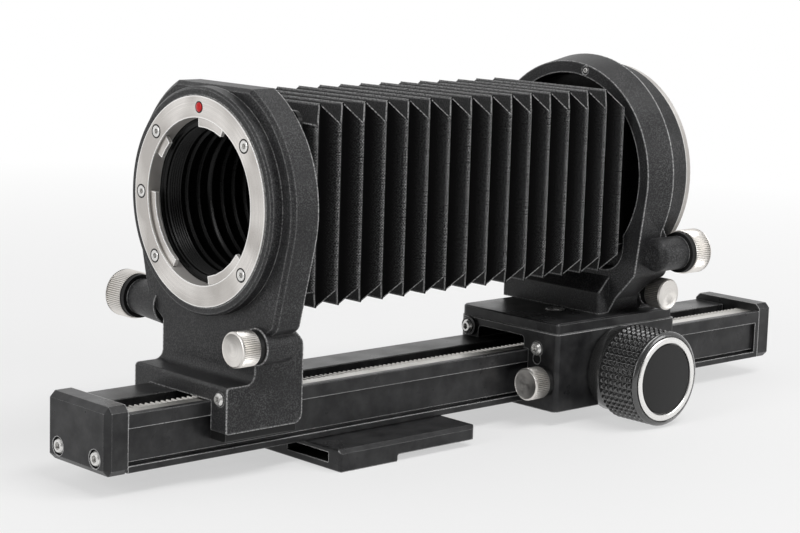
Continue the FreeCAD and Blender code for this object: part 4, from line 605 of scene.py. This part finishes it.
def lay_on(mesh, place, outward):
    """Stand a round piece at a place, so that its Z points outward, and note each point's hoop."""
    direction = Vector(outward)
    turn = direction.to_track_quat("Z", "Y").to_matrix().to_4x4()
    bmesh.ops.recalc_face_normals(mesh, faces=mesh.faces)
    bmesh.ops.transform(mesh, matrix=Matrix.Translation(place) @ turn, verts=mesh.verts)
    hoop = mesh.verts.layers.float_vector.new("hoop")
    for vert in mesh.verts:
        vert[hoop] = direction.cross(vert.co - place)


def piece_from(mesh, name, finish, sharp=35.0):
    """Turn a bmesh into an object in the scene, smooth but for its sharp edges, with one finish."""
    data = bpy.data.meshes.new(name)
    for face in mesh.faces:
        face.smooth = True
    mesh.to_mesh(data)
    mesh.free()
    data.set_sharp_from_angle(angle=math.radians(sharp))
    data.materials.append(finish)
    piece = bpy.data.objects.new(name, data)
    bpy.context.collection.objects.link(piece)
    return piece


print("helpers ready")

# %% [markdown]
# ## The thumb knobs
# Five knobs lock the slides and the revolving mount. Each is turned aluminium, with faces left by
# the tool in fine circles. The circles of a loose knob run round its own axis and not round the
# lens, so this finish reads the hoop that was stored on each of the piece's points.

# %% Mix the turned aluminium and the bright trim
def turned_by_hoop(name, colour, roughness, anisotropy, depth, gap):
    made, tree, shader = new_finish(name, colour, roughness, metallic=0.9)
    shader.inputs["Anisotropic"].default_value = anisotropy
    stored = tree.nodes.new("ShaderNodeAttribute")
    stored.attribute_name = "hoop"
    marked = lathe_marks(tree, shader, stored.outputs["Vector"], colour, depth)
    # Down in narrow gaps such as the knurl's flutes the colour is painted dark as shade.
    gap_shade = tuple(c * 0.12 for c in colour)
    shaded_gaps = laid_over(tree, gap_shade_mask(tree, gap), marked, gap_shade)
    tree.links.new(shaded_gaps, shader.inputs["Base Color"])
    vary_roughness(tree, shader, grain(tree, 5.0, 3.0), roughness, 0.04, 0.05)
    return made


turned_aluminium = turned_by_hoop("turned_aluminium", (0.86, 0.83, 0.79), roughness=0.32,
                                  anisotropy=0.75, depth=0.10, gap=0.45)
polished_trim = turned_by_hoop("polished_trim", (0.95, 0.94, 0.92), roughness=0.28,
                               anisotropy=0.4, depth=0.03, gap=0.1)
print("mixed", turned_aluminium.name, "and", polished_trim.name)

# %% [markdown]
# ### A straight knurl
# A knob has a lead-in, a knurled grip, a polished bevel and a slightly dished face. The knurl is
# real geometry, because its sparkle comes from the flanks: every second point of the loop is pulled
# in, the loop is drawn straight on, and at the rim the points come back out to a true circle.

# %% Turn and knurl the five knobs
KNURL_PITCH = 0.70
KNURL_DEPTH = 0.42
KNOB_LIFT = 0.05                   # a knob's gap above its washer
HUB_STEP, LEAD_IN = 0.4, 0.35
RUN_OUT = 0.12                     # from the end of the knurl to the plain rim
# The bevel and the dish: how far in from the rim each circle is, and its rise over the one before.
BEVEL = ((0.10, 0.14), (0.40, 0.30), (0.55, 0.04), (0.70, -0.10))
BEVEL_HEIGHT = 0.48
FORWARDS, BACKWARDS, UPWARDS = (-1, 0, 0), (1, 0, 0), (0, 0, 1)
TOWARDS_NEAR, TOWARDS_FAR = (0, -1, 0), (0, 1, 0)  # the focusing knob is on the near side
LOCKS = {
    "front_near_lock": FORWARDS,
    "front_far_lock": TOWARDS_FAR,
    "carriage_lock": FORWARDS,
    "base_lock": TOWARDS_NEAR,
    "mount_lock": BACKWARDS,
}


def pull_flutes(mesh, loop, segments, ratio):
    """Scale every second point of a loop towards the knob's own axis."""
    step = math.tau / segments
    flutes = [vert for vert in verts_of(loop) if round(math.atan2(vert.co.y, vert.co.x) / step) % 2]
    bmesh.ops.scale(mesh, vec=(ratio, ratio, 1), verts=flutes)


def knurled_head(radius, length):
    """A closed knob standing on Z; two points of each loop make one knurl."""
    segments = 2 * round(math.tau * radius / KNURL_PITCH)
    start = [(radius - 1.0, 0.0), (radius - HUB_STEP, 0.0), (radius, LEAD_IN)]
    mesh, loop = draw_round(start, segments)
    ratio = 1 - KNURL_DEPTH / radius
    pull_flutes(mesh, loop, segments, ratio)
    grip = length - LEAD_IN - RUN_OUT - BEVEL_HEIGHT
    loop = next_loop(mesh, loop, (0, 0, grip * MM), (1, 1, 1))
    loop = next_loop(mesh, loop, (0, 0, RUN_OUT * MM), (1, 1, 1))
    pull_flutes(mesh, loop, segments, 1 / ratio)
    previous = radius
    for inwards, rise in BEVEL:
        share = (radius - inwards) / previous
        loop = next_loop(mesh, loop, (0, 0, rise * MM), (share, share, 1))
        previous = radius - inwards
    close_end(mesh, loop)
    close_end(mesh, open_loops(mesh))
    return mesh


for lock, outward in LOCKS.items():
    low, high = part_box(lock + "_washer")
    reach = (high - low) / 2
    seat = (low + high) / 2 + Vector([d * r for d, r in zip(outward, reach)])
    low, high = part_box(lock + "_knob")
    across = [high[i] - low[i] for i in range(3) if not outward[i]]
    tip = max((corner - seat).dot(Vector(outward)) for corner in (low, high))
    head = knurled_head(max(across) / 2 / MM, tip / MM - KNOB_LIFT)
    lay_on(head, seat + Vector(outward) * KNOB_LIFT * MM, outward)
    knob = piece_from(head, lock + "_head", turned_aluminium)
    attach(knob, lock)
    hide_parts(lock + "_knob")
    print(knob.name, "has", len(knob.data.polygons), "faces")

# %% [markdown]
# ## The focusing knob
# The grip is a field of small studs, seven rows of forty-four. A plain barrel is drawn with one
# face for each stud, and Inset does the rest: once flat, to leave the groove between studs, once
# raised, for the steep sides, and once more, to round the top. The hub behind and the rim in front
# stay smooth.

# %% Draw the barrel and raise the studs
STUDS = 44                         # in one row
ROWS = 7
GROOVE_RADIUS = 14.88
GRIP_START, GRIP_END = 6.0, 20.5
STUD_STEPS = ((0.20, 0.0), (0.24, 0.62), (0.30, 0.26))  # how far in, how far up
HUB_LINE = [(13.5, 0.0), (14.1, 0.12), (14.3, 0.5), (14.3, 5.0), (14.1, 5.35), (14.3, 5.5),
            (GROOVE_RADIUS, 5.6)]
RIM_LINE = [(GROOVE_RADIUS, 20.6), (15.5, 20.7), (15.74, 20.9), (15.74, 21.1), (15.5, 21.45),
            (14.7, 21.9), (14.45, 21.98), (14.3, 21.9), (14.25, 21.1)]
knob_low, knob_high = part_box("focus_knob")
KNOB_BACK = Vector(((knob_low.x + knob_high.x) / 2, knob_high.y, (knob_low.z + knob_high.z) / 2))
row = (GRIP_END - GRIP_START) / ROWS
grip_line = [(GROOVE_RADIUS, GRIP_START + i * row) for i in range(ROWS + 1)]
barrel = draw_solid(HUB_LINE + grip_line + RIM_LINE, STUDS)
bmesh.ops.recalc_face_normals(barrel, faces=barrel.faces)
studs = [face for face in barrel.faces if abs(face.normal.z) < 0.01
         and GRIP_START * MM < face.calc_center_median().z < GRIP_END * MM]
for inwards, raised in STUD_STEPS:
    bmesh.ops.inset_individual(barrel, faces=studs, thickness=inwards * MM, depth=raised * MM,
                               use_even_offset=True)
print("raised", len(studs), "studs")

# %% [markdown]
# ### The knob's face
# A bright ring with two fine bevels stands just proud of the rim, round a matt black disc. All
# three pieces share the barrel's own axis, so one place and one direction lay them all on the
# knob's shaft.

# %% Lay the knob, its bright ring and its face
FINE = 96                          # points in a circle that has to look perfectly round
RING_LINE = [(11.95, 21.2), (11.95, 22.1), (12.15, 22.34), (12.5, 22.36), (13.3, 22.36),
             (13.65, 22.34), (13.88, 22.1), (13.88, 21.2)]
FACE_LINE = [(11.5, 21.15), (11.55, 21.75), (11.45, 21.93), (11.2, 22.0)]
for skin, name, finish, node in (
        (barrel, "focus_grip", knob_black, "focus_knob"),
        (draw_ring(RING_LINE, FINE), "focus_bright_ring", polished_trim, "focus_trim_ring"),
        (draw_solid(FACE_LINE, FINE), "focus_face", knob_face, "focus_knob_disc")):
    lay_on(skin, KNOB_BACK, TOWARDS_NEAR)
    piece = piece_from(skin, name, finish)
    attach(piece, "focus_drive")
    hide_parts(node)
    print(piece.name, "has", len(piece.data.polygons), "faces")

# %% [markdown]
# ## Screw heads and the mounting dot
# The screws of the lens ring have flat heads, the one in the top plate a dished head, and the dot
# is a domed bead of enamel. All are drawn from one kind of profile: a rim, a face and, for the
# screws, a socket going down. Round each rim lies a thin dark ring, a painted shadow that stands
# for the gap the head sits in.

# %% Draw the heads, the bead and their painted shadow rings
SMALL = 48                         # points in the circle of a small piece
SUNK, PROUD = -0.02, 0.03          # the gap's underside and top, from the face it lies on


def round_piece(name, profile, seat, outward, finish, body):
    """A closed turned piece that stands on a seat and rides a body."""
    skin = draw_solid(profile, SMALL)
    lay_on(skin, seat, outward)
    piece = piece_from(skin, name, finish)
    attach(piece, body)
    return piece


def shadow_gap_ring(name, inner, width, seat, outward, body):
    """A thin dark ring round a head: a painted shadow that stands for the gap."""
    outer = inner + width
    skin = draw_ring([(inner, SUNK), (inner, PROUD), (outer, PROUD), (outer, SUNK)], SMALL)
    lay_on(skin, seat, outward)
    # A dark ring painted as the shadow in the gap round the head.
    washer = piece_from(skin, name, washer_and_shadow_black)
    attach(washer, body)


def seat_over(node, **face):
    """The middle of a loaded piece, moved along one axis to the face it is let into."""
    low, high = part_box(node)
    seat = (low + high) / 2
    for axis, place in face.items():
        setattr(seat, axis, place)
    return seat


# In a head's line the radii are shares of the head's radius and the heights are millimetres.
FLAT_HEAD = [(0.65, -1.0), (0.65, SUNK), (1.0, SUNK), (1.0, 0.05), (0.92, 0.14), (0.60, 0.12),
             (0.46, 0.0), (0.42, -0.8)]
DISHED_HEAD = [(0.80, -0.6), (0.80, SUNK), (1.0, SUNK), (1.0, 0.20), (0.93, 0.32), (0.82, 0.28),
               (0.52, -0.05), (0.36, -0.08), (0.33, -0.5)]
# HEAD_GAP and BEAD_GAP are the widths of the painted shadow rings.
SMALL_HEAD, LARGE_HEAD, HEAD_GAP = 1.7, 3.3, 0.45
BEAD, BEAD_GAP = 1.4, 0.35
BEAD_LINE = [(BEAD, SUNK), (BEAD, 0.06), (1.25, 0.26), (0.95, 0.42), (0.55, 0.53), (0.2, 0.56)]

heads = []
for i in range(1, 6):
    node = f"lens_ring_screw_{i}"
    seat = seat_over(node, x=ring_low.x)
    heads.append((node, SMALL_HEAD, FLAT_HEAD, seat, FORWARDS, "front_standard"))
node = "top_plate_screw_1"
seat = seat_over(node, z=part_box("carriage_top_plate")[1].z)
heads.append((node, LARGE_HEAD, DISHED_HEAD, seat, UPWARDS, "rear_carriage"))
for node, radius, line, seat, outward, body in heads:
    profile = [(radius * share, height) for share, height in line]
    head = round_piece(node + "_head", profile, seat, outward, screw_steel, body)
    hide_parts(node)
    shadow_gap_ring(node + "_gap", radius, HEAD_GAP, seat, outward, body)
seat = seat_over("alignment_dot", x=ring_low.x)
bead = round_piece("enamel_bead", BEAD_LINE, seat, FORWARDS, red_enamel, "front_standard")
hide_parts("alignment_dot")
shadow_gap_ring("enamel_bead_gap", BEAD, BEAD_GAP, seat, FORWARDS, "front_standard")
print("drew", len(heads), "screw heads and the bead")

# %% [markdown]
# ## The threaded throat
# Behind the lens ring a short black tube traps stray light. It has a thin raised lip, half a dozen
# fine threads, and then round ribs that go on at the same spacing down the inside of the bellows.
# One profile holds it all: each thread and each rib is a few circles of slightly different radius.

# %% Draw the threaded tube
tube_low, tube_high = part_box("light_baffle_tube")
TUBE_LENGTH = (tube_high.x - tube_low.x) / MM
TUBE_BORE = 22.35
THREADS, THREAD_PITCH, THREAD_START = 6, 0.85, 1.1
THREAD_ROOT, THREAD_CREST = TUBE_BORE + 0.12, TUBE_BORE - 0.36
RIB_PITCH, RIB_START = 4.38, 7.6
RIB_REACH, RIB_FOOT, RIB_SIDE = 0.9, 1.1, 0.4
# From the tube's far end along its outside, round the flange and the raised lip, to the bore.
OUTSIDE_LINE = [(23.2, TUBE_LENGTH), (23.2, 1.0), (25.15, 1.0), (25.15, 0.0), (24.15, 0.0),
                (24.0, -0.25), (23.75, -0.25), (23.6, 0.0), (TUBE_BORE + 0.3, 0.1),
                (TUBE_BORE, 0.5)]


def rib(start, bore):
    """Four circles of one rib that stands in from a bore on sloping sides."""
    crest, end = bore - RIB_REACH, start + RIB_FOOT
    return [(bore, start), (crest, start + RIB_SIDE), (crest, end - RIB_SIDE), (bore, end)]


tube_line = list(OUTSIDE_LINE)
for i in range(THREADS):
    start = THREAD_START + i * THREAD_PITCH
    tube_line += [(THREAD_ROOT, start), (THREAD_CREST, start + THREAD_PITCH / 2)]
tube_line += [(THREAD_ROOT, THREAD_START + THREADS * THREAD_PITCH)]
for start in (RIB_START, RIB_START + RIB_PITCH):
    tube_line += rib(start, TUBE_BORE)
tube_line += [(TUBE_BORE, TUBE_LENGTH)]
tube_skin = draw_ring(tube_line, FINE)
lay_on(tube_skin, OPTICAL_AXIS + Vector((tube_low.x, 0, 0)), BACKWARDS)
threaded_tube = piece_from(tube_skin, "threaded_tube", light_trap, sharp=50.0)
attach(threaded_tube, "front_standard")
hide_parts("light_baffle_tube")
print("tube of", round(TUBE_LENGTH, 1), "mm with", THREADS, "threads")

# %% [markdown]
# ## The folded cloth
# The bellows is one long sleeve of woven cloth, stiffened with card, folded so that the side folds
# stand out where the top folds dip in. It could be a modifier on a tube, but the folds at the
# corners are flat facets, so it is built the way it is folded: a square loop of four edges is drawn
# out along the rail one half fold at a time, and each new loop is pulled wide or tall by turns.

# %% Draw out the sleeve
cloth_low, cloth_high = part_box("bellows")
FOLDS = 16
HALF = (cloth_high.y - cloth_low.y) / 2
SIDE_DEPTH, TOP_DEPTH = 4.7 * MM, 5.8 * MM
REAR_HALF = 22.9 * MM              # the plain collar that goes through the rear arch
ARCH_DEPTH, ARCH_GAP = 5.0 * MM, 0.6 * MM
PLEATS_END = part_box("rear_bellows_frame")[0].x - ARCH_DEPTH - ARCH_GAP
CLOTH = 0.7 * MM                   # the thickness that each half gets in the end


def fold_stations():
    """Place, half width and half height of every half fold."""
    collar = HALF - SIDE_DEPTH
    step = (PLEATS_END - cloth_low.x) / (2 * FOLDS)
    stations = [(cloth_low.x, collar, collar)]
    for i in range(1, 2 * FOLDS):
        wide = i % 2 == 1
        stations.append((cloth_low.x + i * step, HALF if wide else HALF - SIDE_DEPTH,
                         HALF - TOP_DEPTH if wide else HALF))
    stations.append((PLEATS_END, REAR_HALF, REAR_HALF))
    stations.append((cloth_high.x, REAR_HALF, REAR_HALF))
    return stations


sleeve = bmesh.new()
stations = fold_stations()
x, half_y, half_z = stations[0]
made = bmesh.ops.create_circle(sleeve, cap_ends=False, segments=4, radius=math.sqrt(2))
upright = Matrix.Rotation(math.pi / 2, 4, "Y") @ Matrix.Rotation(math.pi / 4, 4, "Z")
bmesh.ops.transform(sleeve, matrix=upright, verts=made["verts"])
bmesh.ops.scale(sleeve, vec=(1, half_y, half_z), verts=made["verts"])
bmesh.ops.translate(sleeve, vec=OPTICAL_AXIS + Vector((x, 0, 0)), verts=made["verts"])
loop = list(sleeve.edges)
for before, after in zip(stations, stations[1:]):
    loop = next_loop(sleeve, loop, (after[0] - before[0], 0, 0),
                     (1, after[1] / before[1], after[2] / before[2]), OPTICAL_AXIS)
print("sleeve of", len(sleeve.faces), "flat panels,", FOLDS, "folds")

# %% [markdown]
# ### Soft folds and a woven surface
# A crease in cloth-covered card is not a line: it is about half a millimetre round. Bevelling the
# fold edges gives that, and it is what catches the light. The weave then needs coordinates that
# follow each panel, so a UV map is laid in millimetres. A second map says how near a point is to
# the crest of its fold, because the crests are rubbed grey, and the fade to black towards the
# valleys is painted shade.

# %% Round the folds and lay the weave
FOLD_ROUND, CORNER_ROUND = 0.45 * MM, 0.55 * MM
CORNER_TILT = 0.28                 # a face that leans more than this both ways is in a corner
SAME_PLACE = 1e-6


def lay_weave(mesh):
    """Two UV maps: millimetres over the cloth, and nearness to the crest with a top-panel flag."""
    weave = mesh.loops.layers.uv.new("weave")
    crest = mesh.loops.layers.uv.new("crest")
    for face in mesh.faces:
        sideways = abs(face.normal.y) > abs(face.normal.z)
        crease = min(abs(face.normal.y), abs(face.normal.z)) > CORNER_TILT
        across = 2 if sideways else 1
        middle = face.calc_center_median()
        slope = math.sqrt(max(1e-6, 1 - face.normal.x ** 2))
        for corner in face.loops:
            place = corner.vert.co - OPTICAL_AXIS
            along = middle.x + (corner.vert.co.x - middle.x) / slope
            corner[weave].uv = (along / MM, corner.vert.co[across] / MM)
            depth, reach = (SIDE_DEPTH, abs(place.y)) if sideways else (TOP_DEPTH, abs(place.z))
            nearness = 1.0 if crease else 1 - (HALF - reach) / depth
            on_top = 1.0 if crease or not sideways else 0.0
            corner[crest].uv = (max(0.0, min(1.0, nearness)), on_top)


def round_off(mesh, edges, offset, segments):
    bmesh.ops.bevel(mesh, geom=edges, offset=offset, offset_type="OFFSET", affect="EDGES",
                    segments=segments, profile=0.5, material=-1, clamp_overlap=True)


def run_along(edge):
    """How far an edge goes along the rail."""
    return abs(edge.verts[0].co.x - edge.verts[1].co.x)


bmesh.ops.recalc_face_normals(sleeve, faces=sleeve.faces)
folds = [edge for edge in sleeve.edges if not edge.is_boundary and run_along(edge) < SAME_PLACE]
round_off(sleeve, folds, FOLD_ROUND, 3)
corners = [edge for edge in sleeve.edges if not edge.is_boundary
           and edge.calc_face_angle(0) > math.radians(35) and run_along(edge) > 0.5 * MM]
round_off(sleeve, corners, CORNER_ROUND, 2)
bmesh.ops.remove_doubles(sleeve, verts=sleeve.verts, dist=0.01 * MM)
lay_weave(sleeve)
print("rounded", len(folds), "folds and", len(corners), "corner creases")

# %% [markdown]
# ### Woven black cloth
# Two crossed waves make the threads, and a noise breaks them up so that they never look printed.
# The crest map lifts the colour in specks: softly over the outer half of the side panels, and as a
# thin clean line on the top panels and along the corner creases. The specks are rubbed wear at the
# crests; their fading towards the valleys of the side panels is painted shade. The top panels are
# given a lighter colour than the side panels, with a faint mottle of their own: painted light from
# above.

# %% Weave the cloth finish
def woven_cloth(name, side, top, edge_grey, speckle):
    made, tree, shader = new_finish(name, side, 0.9, gloss=0.05)
    shader.inputs["Sheen Weight"].default_value = 0.02
    shader.inputs["Sheen Roughness"].default_value = 0.5
    place = tree.nodes.new("ShaderNodeUVMap")
    place.uv_map = "weave"
    slant = add(tree, "ShaderNodeMapping", Rotation=(0.0, 0.0, math.radians(38)))
    tree.links.new(place.outputs["UV"], slant.inputs["Vector"])
    heights = []
    for direction in ("X", "Y"):
        wave = add(tree, "ShaderNodeTexWave", Scale=0.52, Distortion=0.6, Detail=1.0,
                   Detail_Scale=1.5)
        wave.wave_type = "BANDS"
        wave.bands_direction = direction
        tree.links.new(slant.outputs["Vector"], wave.inputs["Vector"])
        heights.append(wave.outputs["Fac"])
    threads = maths(tree, "MULTIPLY", *heights)
    fuzz = add(tree, "ShaderNodeTexNoise", Scale=2.1, Detail=2.0, Roughness=0.7)
    tree.links.new(place.outputs["UV"], fuzz.inputs["Vector"])
    specks = maths(tree, "MULTIPLY", remap(tree, fuzz.outputs["Fac"], 0.42, 0.56, 0.10, 1.0),
                   remap(tree, threads, 0.0, 0.7, 0.4, 1.0))

    crest = tree.nodes.new("ShaderNodeUVMap")
    crest.uv_map = "crest"
    apart = tree.nodes.new("ShaderNodeSeparateXYZ")
    tree.links.new(crest.outputs["UV"], apart.inputs[0])
    near, on_top = apart.outputs["X"], apart.outputs["Y"]
    # Top panels lighter than side panels: painted light from above.
    lit_top_shaded_side = tint(tree, on_top, side, top)
    # Lighter towards the crest: rubbed wear there, and painted shade towards the valley.
    crest_wear_valley_shade = maths(tree, "POWER", remap(tree, near, 0.15, 1.0, 0.0, 1.0), 2.2)
    line = remap(tree, near, 0.80, 0.95, 0.0, 1.0)
    softly = maths(tree, "ADD", maths(tree, "MULTIPLY", crest_wear_valley_shade, speckle),
                   maths(tree, "MULTIPLY", line, 0.5))
    side_wear_and_shade = maths(tree, "MULTIPLY", maths(tree, "MULTIPLY", specks, softly),
                     maths(tree, "SUBTRACT", 1.0, on_top))
    top_rub = maths(tree, "MULTIPLY", maths(tree, "MULTIPLY", line, on_top),
                    remap(tree, fuzz.outputs["Fac"], 0.42, 0.56, 0.08, 0.62))
    lifted_edges = maths(tree, "MAXIMUM", side_wear_and_shade, top_rub)
    # A faint mottle on the top panels only: painted light.
    lit_top_mottle = maths(tree, "MULTIPLY", on_top, maths(tree, "MULTIPLY", specks, 0.08))
    greyed = laid_over(tree, maths(tree, "MAXIMUM", lifted_edges, lit_top_mottle), lit_top_shaded_side, edge_grey)
    tree.links.new(greyed, shader.inputs["Base Color"])
    woven = relief(tree, threads, 0.5, 0.07)
    tree.links.new(relief(tree, fuzz.outputs["Fac"], 0.4, 0.08, woven), shader.inputs["Normal"])
    return made


# The top colour is lighter than the side colour as painted light from above.
bellows_cloth = woven_cloth("woven_cloth", side=(0.0025, 0.0025, 0.0026),
                            top=(0.012, 0.012, 0.0125), edge_grey=(0.60, 0.60, 0.60), speckle=0.21)
print("wove", bellows_cloth.name)

# %% [markdown]
# ### The ribbed lining
# Inside the folds runs a thin round lining, ribbed at half the spacing of the folds. It is what
# shows through the throat. It is drawn like the tube, wall and all, a little smaller than the
# folds' inside.

# %% Draw the ribbed lining
LINING, LINING_WALL, TUBE_GAP = 23.1, 0.35, 0.3
LINING_BORE = LINING - LINING_WALL
LINING_POINTS = 72
FIRST_RIB, LAST_RIB = 0.6, 2.0     # kept free of ribs at the front and at the rear
lining_start = tube_high.x / MM + TUBE_GAP
lining_length = PLEATS_END / MM - lining_start
lining_line = [(LINING, 0.0)]
for i in range(int((lining_length - LAST_RIB) / RIB_PITCH)):
    lining_line += rib(FIRST_RIB + i * RIB_PITCH, LINING_BORE)
lining_line += [(LINING_BORE, lining_length), (LINING, lining_length)]
lining = draw_ring(lining_line, LINING_POINTS)
lay_on(lining, OPTICAL_AXIS + Vector((lining_start * MM, 0, 0)), BACKWARDS)
print("lining of", round(lining_length, 1), "mm")

# %% [markdown]
# ### Two halves
# The cloth is held by the front standard at one end and by the rear carriage at the other, and each
# of them slides. Sleeve and lining are cut in the middle into a front half and a rear half. A cut
# end is never left open. The sleeve is still a bare skin when it is cut, and each half is then
# given its thickness. The lining already has a wall, so its cut is bridged from outside to inside.

# %% Cut the sleeve and its lining into halves
def on_the_axis(x):
    return Vector((x, 0, OPTICAL_AXIS.z))


MIDDLE_POINT = on_the_axis((cloth_low.x + PLEATS_END) / 2)


def half_of(mesh, keep_front, thickness):
    """A closed copy of the front or the rear half; a thickness is for a bare skin only."""
    copy = mesh.copy()
    bmesh.ops.bisect_plane(copy, geom=[*copy.verts, *copy.edges, *copy.faces],
                           plane_co=MIDDLE_POINT, plane_no=(1, 0, 0),
                           clear_outer=keep_front, clear_inner=not keep_front)
    if thickness:
        bmesh.ops.solidify(copy, geom=list(copy.faces), thickness=thickness)
    else:
        bmesh.ops.bridge_loops(copy, edges=open_loops(copy))
    return copy


for mesh, stem, finish, sharp, thickness in (
        (sleeve, "bellows", bellows_cloth, 40.0, CLOTH),
        (lining, "lining", light_trap, 60.0, 0.0)):
    front_piece = piece_from(half_of(mesh, True, thickness), stem + "_front_half", finish, sharp)
    rear_piece = piece_from(half_of(mesh, False, thickness), stem + "_rear_half", finish, sharp)
    mesh.free()
    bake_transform(front_piece)
    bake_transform(rear_piece)
    for piece in (front_piece, rear_piece):
        if stem == "bellows":
            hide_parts("bellows")
    print(stem, "faces:", len(front_piece.data.polygons), len(rear_piece.data.polygons))
